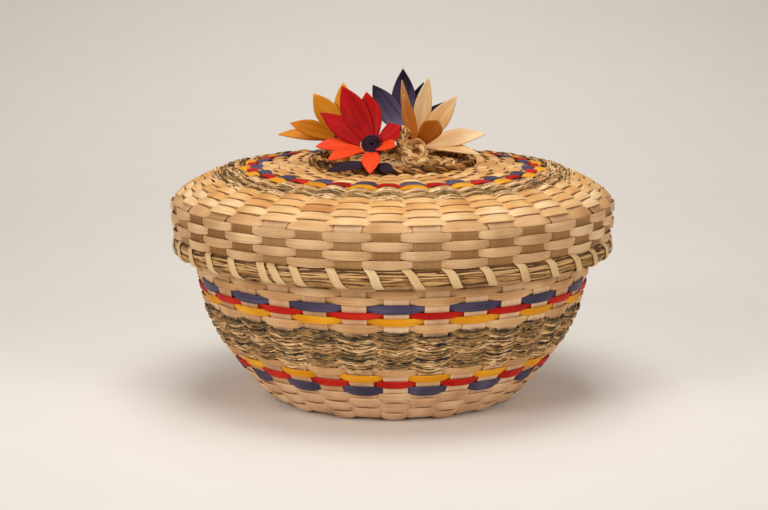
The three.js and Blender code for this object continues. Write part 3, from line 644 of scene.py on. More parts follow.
def grass_strands_tree():
    """Strands of grass blades woven round the axis, spread over one upright and drawn in behind the next."""
    tree, given = new_tree("woven grass strands", {
        "Profile": "Object", "Uprights": "Int", "Turn": "Float", "First over": "Int", "Strands": "Int",
        "Blades": "Int", "Begin": "Float", "Pitch": "Float", "Blade radius": "Float", "Wide": "Float",
        "Narrow": "Float", "Reach": "Float", "Bulge": "Float", "Sag": "Float", "Seed": "Int",
        "Material": "Material"})
    steps = add(tree, "ShaderNodeMath", given["Uprights"], strand_steps, 1.0, operation="MULTIPLY_ADD")
    tube = add(tree, "GeometryNodeMeshGrid", 1, 1, steps, tube_points)
    count = add(tree, "ShaderNodeMath", given["Strands"], given["Blades"], operation="MULTIPLY")
    loose, blade = copies(tree, tube, count, "blade")
    share = add(tree, "ShaderNodeMath", add(tree, "ShaderNodeMath", blade, 0.5, operation="ADD"),
                given["Blades"], operation="DIVIDE")
    strand = add(tree, "ShaderNodeMath", share, operation="FLOOR")
    spot = add(tree, "ShaderNodeMath", add(tree, "ShaderNodeMath", share, operation="FRACT"), 2.0, -1.0,
               operation="MULTIPLY_ADD")
    x = add(tree, "ShaderNodeSeparateXYZ", add(tree, "GeometryNodeInputPosition"))
    angle, swing = weave_swing(tree, given, x, strand)
    # The blade's lane in its strand, which spreads over an upright and is drawn in behind the next
    apart = add(tree, "ShaderNodeMath", blade, blade_apart, given["Seed"], operation="MULTIPLY_ADD")
    round_spot = ring_spot(tree, angle, apart)
    drift = add(tree, "ShaderNodeTexNoise", round_spot, blade_drift, 2, 0.6)
    drift = add(tree, "ShaderNodeMath", drift, blade_sway, -blade_sway / 2, operation="MULTIPLY_ADD")
    lane = add(tree, "ShaderNodeMath", spot, drift, operation="ADD")
    spread = add(tree, "ShaderNodeMapRange", swing, -1.0, 1.0, given["Narrow"], given["Wide"])
    across = add(tree, "ShaderNodeMath", lane, spread, operation="MULTIPLY")
    droop = add(tree, "ShaderNodeMath", swing, given["Sag"], operation="MULTIPLY")
    across = add(tree, "ShaderNodeMath", across, droop, operation="SUBTRACT")
    middle = add(tree, "ShaderNodeMath", strand, given["Pitch"], given["Begin"], operation="MULTIPLY_ADD")
    middle = add(tree, "ShaderNodeMath", given["Pitch"], 0.5, middle, operation="MULTIPLY_ADD")
    distance = add(tree, "ShaderNodeMath", middle, across, operation="ADD")
    curve = add(tree, "GeometryNodeObjectInfo", given["Profile"], output="Geometry")
    low = add(tree, "GeometryNodeSampleCurve", curve, None, distance, mode="LENGTH", output="Position")
    lean = low.node.outputs["Tangent"]
    normal = add(tree, "ShaderNodeVectorMath", (1, 0, 0), lean, operation="CROSS_PRODUCT")
    # Out over the upright, most at the middle of the strand, and round the blade's skin
    over = add(tree, "ShaderNodeMath", swing, 0.5, 0.5, operation="MULTIPLY_ADD")
    edge = add(tree, "ShaderNodeMath", spot, spot, operation="MULTIPLY")
    crown = add(tree, "ShaderNodeMath", 1.0, edge, operation="SUBTRACT")
    crown = add(tree, "ShaderNodeMath", crown, over, operation="MULTIPLY")
    out = add(tree, "ShaderNodeMath", swing, given["Reach"], operation="MULTIPLY")
    out = add(tree, "ShaderNodeMath", crown, given["Bulge"], out, operation="MULTIPLY_ADD")
    turn = add(tree, "ShaderNodeMath", x.node.outputs["Y"], tau, operation="MULTIPLY")
    skin_out = add(tree, "ShaderNodeMath", turn, operation="SINE")
    skin_up = add(tree, "ShaderNodeMath", turn, operation="COSINE")
    out = add(tree, "ShaderNodeMath", skin_out, given["Blade radius"], out, operation="MULTIPLY_ADD")
    up = add(tree, "ShaderNodeMath", skin_up, given["Blade radius"], operation="MULTIPLY")
    up = add(tree, "ShaderNodeMath", up, blade_flatness, operation="MULTIPLY")
    flat = add(tree, "ShaderNodeVectorMath", normal, out, low, operation="MULTIPLY_ADD")
    flat = add(tree, "ShaderNodeVectorMath", lean, up, flat, operation="MULTIPLY_ADD")
    stood = add(tree, "ShaderNodeVectorRotate", flat, (0, 0, 0), angle, rotation_type="Z_AXIS")
    ring = add(tree, "ShaderNodeSeparateXYZ", stood)
    girth = add(tree, "ShaderNodeMath", turn, given["Blade radius"], apart, operation="MULTIPLY_ADD")
    grain = add(tree, "ShaderNodeCombineXYZ", ring, ring.node.outputs["Y"], girth)
    # Blades at the lower or outer edge of the strand are mostly paler: painted light on the strand's lit
    # lower edge, and painted shade at its upper edge under the strand above
    chance = add(tree, "FunctionNodeRandomValue", 0.0, 1.0, blade, given["Seed"], data_type="FLOAT")
    lit_edge_share = add(tree, "ShaderNodeMath", spot, -0.5, 0.5, operation="MULTIPLY_ADD")
    tone = add(tree, "ShaderNodeMix", 0.4, chance, lit_edge_share, data_type="FLOAT")
    return end_tree(tree, loose, grain, tone, stood, given["Material"])


def dried_grass(name, colours, roughness=0.62):
    """Dried sweetgrass: fine bright and dark blades side by side, olive, tan and purple-brown."""
    return streaked(name, colours, blade_length, blade_streak, grass_patch, grass_details, grass_weights,
                    roughness)


grass_strands = grass_strands_tree()
band_grass = dried_grass("dried sweetgrass", ["#33242a", "#5c5032", "#9a7144", "#cc9d69", "#f5d3a2"])
grass_weave = dict(blades=blades, pitch=strand_pitch, blade_radius=blade_radius, wide=1.9 * mm,
                   narrow=0.8 * mm, bulge=1.0 * mm, sag=0.8 * mm, material=band_grass)
grass_reach = 1.3 * mm
_, grass_first, grass_start = base_grass_rows[0]
laid = 0
for (name, *_), strands in zip(base_grass_rows, base_strands):
    make(name, grass_strands, "base", "sweetgrass", first_over=grass_first + laid, strands=strands,
         begin=grass_start + laid * strand_pitch, reach=grass_reach, seed=90 + laid, **round_base,
         **grass_weave)
    laid += strands

# Lid uprights: ash splints that cross at the middle of the lid, run out over the low dome, turn down at
# the shoulder and are caught between the bundle and the hoop of the rim.
lid_uprights = 38
lid_turn = radians(-1.75)
lid_upright_width = 14.4 * mm
lid_radius = 123.8 * mm
lid_rim_radius = 117.8 * mm
lid_rim_foot = 84.2 * mm
side_low = 94.15 * mm
shoulder_height = 113.15 * mm
dome_rise = 18 * mm
dome_power = 6
dome_steps = 72
# Painted shade on the lid uprights: their colour is darkened towards this tint below the shoulder, fully
# below the lower height and not at all above the upper one
painted_side_shade_tint = "#b9a888"
side_shade_low = 111 * mm
side_shade_high = 119 * mm


def dome_height(radius):
    """Height of the middle of the lid's top at a radius."""
    return shoulder_height + dome_rise * (1 - (radius / lid_radius) ** dome_power)


# From the rim up the side, which leans out a little, to the shoulder, then in over the dome
lid_line = [
    (lid_rim_radius, lid_rim_foot),
    (lid_rim_radius, side_low - 2.5 * mm),
    (lid_radius - 1.6 * mm, side_low),
    (lid_radius - 0.7 * mm, side_low + 4.75 * mm),
    (lid_radius - 0.2 * mm, side_low + 10 * mm),
    (lid_radius, shoulder_height),
]
lid_side_points = len(lid_line) - 1
for i in range(1, dome_steps + 1):
    share = i / dome_steps
    radius = lid_radius - (lid_radius - hub_middle) * share * (0.25 + 0.75 * share)
    lid_line.append((radius, dome_height(radius)))


def side_shaded_upright_ash():
    """Ash uprights that are pale on the top of the lid and darker below its shoulder: painted shade, where
    they lie recessed behind the side rows.
    """
    material = ash_splint("ash upright with painted side shade", *upright_colours)
    tree = material.node_tree
    base_colour = tree.nodes["Principled BSDF"].inputs["Base Color"]
    height = add(tree, "ShaderNodeSeparateXYZ", add(tree, "ShaderNodeTexCoord", output="Object"), output="Z")
    # Painted shade: multiplies the splint's colour by the darker tint below the shoulder
    lit_share = add(tree, "ShaderNodeMapRange", height, side_shade_low, side_shade_high)
    painted_shade = add(tree, "ShaderNodeMix", lit_share, linear(painted_side_shade_tint), linear("#ffffff"), data_type="RGBA")
    shaded_colour = add(tree, "ShaderNodeMix", 1.0, base_colour.links[0].from_socket, painted_shade, data_type="RGBA",
               blend_type="MULTIPLY")
    tree.links.new(shaded_colour, base_colour)
    return material


lid_profile = path_curve("lid_profile", [(0, -radius, height) for radius, height in lid_line])
make("lid_uprights", standing_splints, "lid", "ash_natural",
     profile=lid_profile, count=lid_uprights, turn=lid_turn, width=lid_upright_width,
     crowd=upright_crowd, thickness=splint, stray=upright_stray, seed=5, material=side_shaded_upright_ash())

# Lid rows: four plain ash weavers on the side and eight golden ones in over the dome, then five strands of
# sweetgrass, one yellow, one red and one navy weaver, and narrow rounds. All are woven as the base is.
side_row_width = 4.75 * mm
side_rows = 4
side_ash = ash_splint("weathered ash splint", "#a17c54", "#cca274", "#ebc89c")
golden_ash = ash_splint("golden ash splint", "#b4713a", "#daa564", "#f2cf98")
shoulder_length = length_to(lid_line, lid_side_points)
side_start = shoulder_length - side_rows * side_row_width
side_over = 1.7 * mm
top_over = 1.6 * mm
side_row_gap = -0.3 * mm
top_row_gap = -2.3 * mm  # each float laps over the rows beside it
top_squeeze = 0.55
round_lid = dict(profile=lid_profile, uprights=lid_uprights, turn=lid_turn)
lid_weave = dict(round_lid, thickness=weaver, under=row_under, wander=row_wander)
for number in range(side_rows):
    name = f"lid_side_row_{side_rows - number}"
    make(name, woven_rows, "lid", "ash_natural", first_over=number, rows=1,
         begin=side_start + number * side_row_width, row_width=side_row_width, row_gap=side_row_gap,
         squeeze=0.2, over=side_over, seed=110 + number, material=side_ash, **lid_weave)
pale_golden_ash = ash_splint("pale golden ash splint", "#b98047", "#dcb078", "#f3d7aa")
lid_grass_reach = 1.7 * mm
first_golden_width = 4.5 * mm
golden_width = 3.07 * mm
lid_strand_pitch = 3.12 * mm
lid_grass_weave = dict(grass_weave, pitch=lid_strand_pitch, wide=2.3 * mm, narrow=1.0 * mm)
# Each row: its name, how many strips or strands it has, the width of one, its slot and its material
lid_rows = [
    ("lid_top_row_1", 1, first_golden_width, "ash_golden", natural_ash),
    ("lid_top_row_2", 2, golden_width, "ash_golden", pale_golden_ash),
    ("lid_top_row_3", 1, golden_width, "ash_golden", pale_golden_ash),
    ("lid_top_row_4", 2, golden_width, "ash_golden", golden_ash),
    ("lid_top_row_5", 1, golden_width, "ash_golden", golden_ash),
    ("lid_top_row_6", 1, golden_width, "ash_golden", golden_ash),
    ("lid_sweetgrass_row_1", 3, lid_strand_pitch, "sweetgrass", band_grass),
    ("lid_sweetgrass_row_2", 2, lid_strand_pitch, "sweetgrass", band_grass),
    ("lid_yellow_row", 1, 4.4 * mm, "ash_yellow", yellow_ash),
    ("lid_red_row", 1, 3.0 * mm, "ash_red", red_ash),
    ("lid_navy_row", 1, 4.4 * mm, "ash_navy", navy_ash),
]
reached = shoulder_length
laid = 0
for name, strips, width, slot, finish in lid_rows:
    if slot == "sweetgrass":
        make(name, grass_strands, "lid", slot, first_over=laid, strands=strips, begin=reached,
             reach=lid_grass_reach, seed=120 + laid, **round_lid, **lid_grass_weave)
    else:
        make(name, woven_rows, "lid", slot, first_over=laid, rows=strips, begin=reached,
             row_width=width, row_gap=top_row_gap, squeeze=top_squeeze, over=top_over, seed=130 + laid,
             material=finish, **lid_weave)
    reached += strips * width
    laid += strips
centre_rounds = 12
centre_round_width = (length_to(lid_line, len(lid_line) - 1) - hub_radius - reached) / centre_rounds
make("lid_centre_rounds", woven_rows, "lid", "ash_natural", first_over=laid,
     rows=centre_rounds, begin=reached, row_width=centre_round_width, row_gap=-0.6 * mm,
     squeeze=0.3, over=row_over, seed=150, material=golden_ash, **lid_weave)

# Lid rim: a thick bundle of sweetgrass stalks outside and a thin ash hoop inside the ends of the uprights,
# with a pale splint lashed round both. The lashing goes through the weave once in every gap.
bundle_radius = 121.6 * mm
bundle_height = 88.8 * mm
bundle_half_width = 2.9 * mm
bundle_half_height = 5.0 * mm
stalks = 80
stalk_radius = 0.55 * mm
lashing_width = 5.2 * mm
lashing_slant = 0.34
lash_pitch = tau / lid_uprights
lash_start = lid_turn + 0.42 * lash_pitch
lash_middle = lash_start + 0.25 * lash_pitch  # where the front of a lashing crosses the bundle
lid_hoop_start = 0.6 * mm
lid_hoop_width = 9 * mm
lid_hoop_reach = 0.9 * mm
lashing_radius = 120.7 * mm
lashing_half_width = 4.1 * mm
lashing_slack = 0.2 * mm
second_lashing = -3.62  # where the second turn beside another begins, in pitches
bundle_steps = 6.0  # steps of a stalk from one lashing to the next
bundle_pinch = 0.08  # how far a lashing draws the stalks in, as a share of the bundle
stalk_wander = 2.4  # how far a stalk wanders round the bundle, in radians
stalk_apart = 5.1  # keeps the noise of one stalk apart from that of the next
stalk_drift = 2.5


def stalk_bundle_tree():
    """Stalks laid side by side in a thick ring, drawn in where each lashing holds them."""
    tree, given = new_tree("stalk bundle", {
        "Radius": "Float", "Height": "Float", "Half width": "Float", "Half height": "Float",
        "Stalks": "Int", "Stalk radius": "Float", "Lashings": "Int", "Start": "Float", "Pinch": "Float",
        "Wander": "Float", "Seed": "Int", "Material": "Material"})
    steps = add(tree, "ShaderNodeMath", given["Lashings"], bundle_steps, 1.0, operation="MULTIPLY_ADD")
    tube = add(tree, "GeometryNodeMeshGrid", 1, 1, steps, tube_points)
    loose, stalk = copies(tree, tube, given["Stalks"], "stalk")
    x = add(tree, "ShaderNodeSeparateXYZ", add(tree, "GeometryNodeInputPosition"))
    angle = add(tree, "ShaderNodeMath", x, tau, operation="MULTIPLY")
    apart = add(tree, "ShaderNodeMath", stalk, stalk_apart, given["Seed"], operation="MULTIPLY_ADD")
    round_spot = ring_spot(tree, angle, apart)
    drift = add(tree, "ShaderNodeTexNoise", round_spot, stalk_drift, 2)
    drift = add(tree, "ShaderNodeMath", drift, 0.5, operation="SUBTRACT")
    drift = add(tree, "ShaderNodeMath", drift, given["Wander"], operation="MULTIPLY")
    share = add(tree, "ShaderNodeMath", stalk, given["Stalks"], operation="DIVIDE")
    spot = add(tree, "ShaderNodeMath", share, tau, drift, operation="MULTIPLY_ADD")
    depth = add(tree, "FunctionNodeRandomValue", 0.7, 1.0, stalk, given["Seed"], data_type="FLOAT")
    # Drawn in under each lashing
    lashed = add(tree, "ShaderNodeMath", angle, given["Start"], operation="SUBTRACT")
    lashed = add(tree, "ShaderNodeMath", lashed, given["Lashings"], operation="MULTIPLY")
    lashed = add(tree, "ShaderNodeMath", lashed, operation="COSINE")
    lashed = add(tree, "ShaderNodeMath", lashed, 0.5, 0.5, operation="MULTIPLY_ADD")
    lashed = add(tree, "ShaderNodeMath", lashed, 4.0, operation="POWER")
    drawn = add(tree, "ShaderNodeMath", lashed, given["Pinch"], operation="MULTIPLY")
    drawn = add(tree, "ShaderNodeMath", 1.0, drawn, operation="SUBTRACT")
    size = add(tree, "ShaderNodeMath", depth, drawn, operation="MULTIPLY")
    turn = add(tree, "ShaderNodeMath", x.node.outputs["Y"], tau, operation="MULTIPLY")
    ends = []
    for wave, half, middle in (("COSINE", "Half width", "Radius"), ("SINE", "Half height", "Height")):
        reach = add(tree, "ShaderNodeMath", add(tree, "ShaderNodeMath", spot, operation=wave), size,
                    operation="MULTIPLY")
        centre = add(tree, "ShaderNodeMath", reach, given[half], given[middle], operation="MULTIPLY_ADD")
        skin = add(tree, "ShaderNodeMath", turn, operation=wave)
        ends.append(add(tree, "ShaderNodeMath", skin, given["Stalk radius"], centre,
                        operation="MULTIPLY_ADD"))
    front = add(tree, "ShaderNodeMath", ends[0], -1.0, operation="MULTIPLY")
    flat = add(tree, "ShaderNodeCombineXYZ", 0, front, ends[1])
    stood = add(tree, "ShaderNodeVectorRotate", flat, (0, 0, 0), angle, rotation_type="Z_AXIS")
    along = add(tree, "ShaderNodeMath", angle, given["Radius"], operation="MULTIPLY")
    girth = add(tree, "ShaderNodeMath", turn, given["Stalk radius"], operation="MULTIPLY")
    grain = add(tree, "ShaderNodeCombineXYZ", along, apart, girth)
    tone = add(tree, "FunctionNodeRandomValue", 0.0, 1.0, apart, given["Seed"], data_type="FLOAT")
    return end_tree(tree, loose, grain, tone, stood, given["Material"])


stalk_grass = dried_grass("sweetgrass stalks", ["#5c3f2e", "#7c5632", "#996c3d", "#b3854d", "#d0a870"], 0.5)
make("lid_rim_bundle", stalk_bundle_tree(), "lid", "sweetgrass",
     radius=bundle_radius, height=bundle_height, half_width=bundle_half_width - stalk_radius,
     half_height=bundle_half_height - stalk_radius, stalks=stalks, stalk_radius=stalk_radius,
     lashings=lid_uprights, start=lash_middle, pinch=bundle_pinch,
     wander=stalk_wander, seed=160,
     material=stalk_grass)
make("lid_inner_hoop", woven_rows, "lid", "ash_natural", first_over=0, rows=1,
     begin=lid_hoop_start, row_width=lid_hoop_width, row_gap=0, seed=170, material=natural_ash,
     thickness=hoop, over=-lid_hoop_reach, under=lid_hoop_reach, squeeze=0, wander=0, **round_lid)
lashing_ash = ash_splint("lashing ash splint", "#b08a5b", "#d2ae7d", "#e8cda5")
for name, extra, start, turns in (("lid_rim_lashing", False, 0, lid_uprights),
                                  ("lid_rim_lashing_end", True, second_lashing, 1)):
    make(name, wound_splint, "lid", "ash_natural", extra,
         radius=lashing_radius, height=bundle_height, half_width=lashing_half_width,
         half_height=bundle_half_height + lashing_slack, turns=turns, start=lash_start + start * lash_pitch,
         pitch=lash_pitch, slant=lashing_slant, width=lashing_width, thickness=weaver, seed=175,
         material=lashing_ash)

for profile in (base_profile, lid_profile):
    bpy.data.objects.remove(profile)

# Braid on the lid: a thicker braid of sweetgrass laid in a ring round the flowers, tied in a knot at the
# front. Its end stands up beside the knot as a short tail.
braid_ring_radius = 44 * mm
braid_seat = 134.9 * mm
ring_spread = 2.3 * mm
ring_lift = 0.9 * mm
ring_ply = 1.7 * mm
braid_blade = 0.6 * mm
braid_blades = 6  # blades in each of the three plies
braid_apart = 3.7  # keeps the noise of one blade apart from that of the next
braid_lumps = 150  # how often a blade swells out of its ply and back in one metre
ring_plaits = 13
ring_twists = 9
ring_steps = 312
ring_paleness = 0.3
ring_tilt = -1.2
ring_points = 96
knot_plaits = 5
knot_twists = 4
knot_steps = 220
# The knot's tone is set well above the ring's: painted light on the knot, where it lies in the shade of the
# petals
knot_painted_light = 0.8
knot_smoothness = 8  # points between two of the knot's places


def grass_braid_tree():
    """A flat braid along a path, of three plies that are each a twist of grass blades."""
    tree, given = new_tree("three ply grass braid", {
        "Path": "Object", "Blades": "Int", "Steps": "Int", "Plaits": "Float", "Twists": "Float",
        "Spread": "Float", "Lift": "Float", "Ply radius": "Float", "Blade radius": "Float",
        "Paleness": "Float", "Endless": "Float", "Seed": "Int", "Material": "Material"})
    steps = add(tree, "ShaderNodeMath", given["Steps"], 1.0, operation="ADD")
    tube = add(tree, "GeometryNodeMeshGrid", 1, 1, steps, tube_points)
    count = add(tree, "ShaderNodeMath", given["Blades"], 3.0, operation="MULTIPLY")
    loose, blade = copies(tree, tube, count, "blade")
    share = add(tree, "ShaderNodeMath", add(tree, "ShaderNodeMath", blade, 0.5, operation="ADD"),
                given["Blades"], operation="DIVIDE")
    ply = add(tree, "ShaderNodeMath", share, operation="FLOOR")
    third = add(tree, "ShaderNodeMath", ply, 3.0, operation="DIVIDE")
    x = add(tree, "ShaderNodeSeparateXYZ", add(tree, "GeometryNodeInputPosition"))
    reached, full = strip_ends(tree, x, wound_end, given["Endless"])
    curve = add(tree, "GeometryNodeObjectInfo", given["Path"], output="Geometry")
    middle = add(tree, "GeometryNodeSampleCurve", curve, None, reached, mode="FACTOR", output="Position")
    tangent = middle.node.outputs["Tangent"]
    normal = middle.node.outputs["Normal"]
    beside = add(tree, "ShaderNodeVectorMath", normal, tangent, operation="CROSS_PRODUCT")
    # The ply's way from side to side, and over and under the other two
    swing = add(tree, "ShaderNodeMath", reached, given["Plaits"], third, operation="MULTIPLY_ADD")
    swing = add(tree, "ShaderNodeMath", swing, tau, operation="MULTIPLY")
    twice = add(tree, "ShaderNodeMath", swing, 2.0, operation="MULTIPLY")
    sway = add(tree, "ShaderNodeMath", swing, operation="SINE")
    hop = add(tree, "ShaderNodeMath", twice, operation="SINE")
    turn = add(tree, "ShaderNodeMath", x.node.outputs["Y"], tau, operation="MULTIPLY")
    apart = add(tree, "ShaderNodeMath", blade, braid_apart, given["Seed"], operation="MULTIPLY_ADD")
    lump_spot = add(tree, "ShaderNodeCombineXYZ", 0, 0, apart)
    lump_spot = add(tree, "ShaderNodeVectorMath", middle, (braid_lumps,) * 3, lump_spot,
                    operation="MULTIPLY_ADD")
    lumps = add(tree, "ShaderNodeTexNoise", lump_spot, 1, 1)
    swell = add(tree, "ShaderNodeMapRange", lumps, 0.3, 0.7, 0.75, 1.15)
    # The blade's place in its twisted ply
    twisted = add(tree, "ShaderNodeMath", reached, given["Twists"], share, operation="MULTIPLY_ADD")
    twisted = add(tree, "ShaderNodeMath", twisted, tau, operation="MULTIPLY")
    skin = add(tree, "ShaderNodeMath", given["Blade radius"], full, operation="MULTIPLY")
    core = add(tree, "ShaderNodeMath", given["Ply radius"], given["Blade radius"], operation="SUBTRACT")
    core = add(tree, "ShaderNodeMath", core, swell, operation="MULTIPLY")
    ends = []
    for wave, swayed, reach in (("COSINE", sway, "Spread"), ("SINE", hop, "Lift")):
        lane = add(tree, "ShaderNodeMath", twisted, operation=wave)
        lane = add(tree, "ShaderNodeMath", lane, core, operation="MULTIPLY")
        lane = add(tree, "ShaderNodeMath", swayed, given[reach], lane, operation="MULTIPLY_ADD")
        round_skin = add(tree, "ShaderNodeMath", turn, operation=wave)
        ends.append(add(tree, "ShaderNodeMath", round_skin, skin, lane, operation="MULTIPLY_ADD"))
    wide, high = ends
    spot = add(tree, "ShaderNodeVectorMath", beside, wide, middle, operation="MULTIPLY_ADD")
    spot = add(tree, "ShaderNodeVectorMath", normal, high, spot, operation="MULTIPLY_ADD")
    length = add(tree, "GeometryNodeCurveLength", curve)
    along = add(tree, "ShaderNodeMath", reached, length, operation="MULTIPLY")
    girth = add(tree, "ShaderNodeMath", turn, given["Blade radius"], operation="MULTIPLY")
    grain = add(tree, "ShaderNodeCombineXYZ", along, apart, girth)
    chance = add(tree, "FunctionNodeRandomValue", -0.35, 0.35, blade, given["Seed"], data_type="FLOAT")
    tone = add(tree, "ShaderNodeMath", given["Paleness"], chance, operation="ADD")
    return end_tree(tree, loose, grain, tone, spot, given["Material"])


grass_braid = grass_braid_tree()
ring_line = []
for i in range(ring_points):
    turn = tau * i / ring_points
    ring_line.append((braid_ring_radius * sin(turn), -braid_ring_radius * cos(turn), braid_seat))
ring_path = path_curve("ring_path", ring_line, True, ring_tilt)
braid_grass = dried_grass("braided sweetgrass", ["#442a16", "#7a5028", "#a67139", "#c69156", "#e4bb84"])
braid_sizes = dict(blades=braid_blades, spread=ring_spread, lift=ring_lift, ply_radius=ring_ply,
                   blade_radius=braid_blade, material=braid_grass)
make("lid_braid_ring", grass_braid, "lid", "sweetgrass", path=ring_path,
     steps=ring_steps, plaits=ring_plaits, twists=ring_twists, paleness=ring_paleness, endless=1, seed=180,
     **braid_sizes)
knot_line = [
    (34, -28, 134.5), (24, -31, 135), (16, -34, 137), (7.5, -33, 140), (4.5, -28, 143), (10, -23, 146),
    (15.5, -23, 144.5), (17, -28, 139), (13, -33, 138), (5.5, -31, 143), (4, -26, 148.5), (6, -22, 151),
    (8.5, -20, 154.5),
]


def smooth_line(knots, steps):
    """Points on a smooth curve through a short list of points in millimetres."""
    knots = [Vector(k) * mm for k in knots]
    padded = [2 * knots[0] - knots[1], *knots, 2 * knots[-1] - knots[-2]]
    points = []
    for a, b, c, d in zip(padded, padded[1:], padded[2:], padded[3:]):
        for i in range(steps):
            t = i / steps
            points.append(0.5 * (2 * b + (c - a) * t + (2 * a - 5 * b + 4 * c - d) * t * t
                                 + (3 * b - a - 3 * c + d) * t * t * t))
    return points + [knots[-1]]


knot_path = path_curve("knot_path", smooth_line(knot_line, knot_smoothness))
make("lid_braid_knot", grass_braid, "lid", "sweetgrass", path=knot_path,
     steps=knot_steps, plaits=knot_plaits, twists=knot_twists, paleness=knot_painted_light, endless=0, seed=181,
     **braid_sizes)
for path in (ring_path, knot_path):
    bpy.data.objects.remove(path)

# Flowers: four splint flowers, red, ochre, navy and natural, each of pointed petals cut from wide splint
# and bound at the root to a rolled stem stuck into the lid, with dark splint rolled up at its middle.
petal_thickness = 0.6 * mm
petal_steps = 14
petal_lanes = 6
petal_start = 3.2 * mm
petal_root_share = 0.34  # width at the root, as a share of the widest
petal_point = 1.7  # how long the petal stays wide before its tip
petal_cup = 0.16
petal_arch = 0.06  # how far a petal bows forward, as a share of its length
petal_lean = 0.13  # how much of that a petal that stands loses, so that it bends back
low_rise = 0.35  # a petal that rises less than this turns its face up
low_turn = 2  # how strongly it does so
petal_tip = 0.02  # width at the tip, as a share of the widest
roll_inner = 0.8 * mm
roll_low = -1 * mm
roll_steps = 20  # steps in one turn of a roll
roll_tone = 0.4
stem_turns = 2
stem_foot = 130 * mm
stem_radius = 2.2 * mm
stem_lean = 0.95  # how near the middle of the lid a stem stands, as a share of its flower's place
ochre_ash = ash_splint("ochre dyed ash splint", "#9c520c", "#cc7a16", "#eea436", 0.45)
purple_ash = ash_splint("dark purple dyed ash splint", "#1b0f19", "#38202f", "#5d3d54", 0.6)
# The petal ramps carry painted light at their ends: an orange light end for the red's lit petals, an
# orange-brown dark end for the natural's shaded petals and roots, and a pale light end for the navy's painted
# sheen
petal_red = ash_splint("red dyed ash petal", "#640406", "#b80c0a", "#e2441a")
petal_navy = ash_splint("navy dyed ash petal", "#1f1c28", "#534a66", "#8d82a0", 0.4)
petal_natural = ash_splint("natural ash petal", "#b8671a", "#cb9a62", "#ecd0a4")
# Each flower: its root and the way it faces, its material and slot, and its petals. A petal has its tip and
# its width in millimetres, its shade, and how far along it is widest.
# Petal shades are painted light and shade: lit petals are paler, such as the red's lower petals, and petals
# in shade are darker, such as the red's upper petals, the brown natural petal and the narrow navy petals at
# the back
flowers = {
    "red": ((-11, -26, 144.5), (-0.1, -0.82, 0.56), petal_red, "ash_red", [
        ((-28, -22, 178.4), 15, 0.1, 0.55), ((-14.5, -20, 174.9), 14, 0.2, 0.55),
        ((-40.1, -26, 164.1), 12.5, 0.1, 0.5), ((-42.4, -32, 146), 10.5, 1.1, 0.65),
        ((-35.6, -42, 139.6), 10, 1.3, 0.65), ((-12.4, -56, 134.2), 10, 1.3, 0.6),
        ((1, -42, 147), 10, 1.3, 0.65), ((4, -30, 157.1), 11, 0.3, 0.7)]),
    "ochre": ((-27, 4, 146), (-0.25, -0.9, 0.35), ochre_ash, "ash_ochre", [
        ((-65, 4, 148.5), 9, 0.6, 0.5), ((-57.8, -4, 155.9), 10.5, 0.3, 0.55),
        ((-44.6, 2, 171.9), 13, 0.8, 0.55), ((-27.9, 2, 178.2), 12, 1.1, 0.55),
        ((-40, 30, 160), 11, 0.5, 0.5), ((-20, 28, 166), 11, 0.7, 0.5)]),
    "navy": ((7, 16, 147), (0.0, -0.95, 0.3), petal_navy, "ash_navy", [
        ((-11.1, 10, 176), 14, 0.8, 0.5), ((6, 12, 185), 14, 0.5, 0.5), ((17.9, 20, 176.6), 10, -0.6, 0.5),
        ((29.8, 22, 165.1), 7, -0.7, 0.5), ((14, 44, 165), 12, 0.6, 0.5), ((-6, 42, 164), 12, 0.4, 0.5)]),
    "natural": ((14, -10, 143), (0.35, -0.75, 0.55), petal_natural, "ash_natural", [
        ((20.4, -6, 182), 10.5, 1.0, 0.5), ((36.2, -4, 171.1), 11.5, 0.8, 0.5),
        ((51.8, -12, 150.6), 12, 1.1, 0.55), ((49.1, -22, 140), 9.5, 0.9, 0.5),
        ((25, -31, 160.5), 12, -0.25, 0.72), ((6.3, -18, 173.6), 9, 0.1, 0.5),
        ((5.2, -14, 181), 6, 0.2, 0.55), ((26, 26, 158), 11, 0.5, 0.5)]),
}
# Each flower's rolled middle: its radius in millimetres, its turns, and its height in millimetres
roll_sizes = {"red": (5.8, 4, 6), "ochre": (5, 3, 6), "navy": (5, 3, 6), "natural": (3, 2, 3)}
# What each flower's shade gains at the root and at the tip of its petals: painted light and shade along the
# petals, such as a painted sheen at the navy roots and painted shade at the natural roots
petal_painted_shading = {"red": (0, 0.2), "ochre": (-0.2, 0.1), "navy": (0.6, -1.1), "natural": (-0.6, 0.1)}


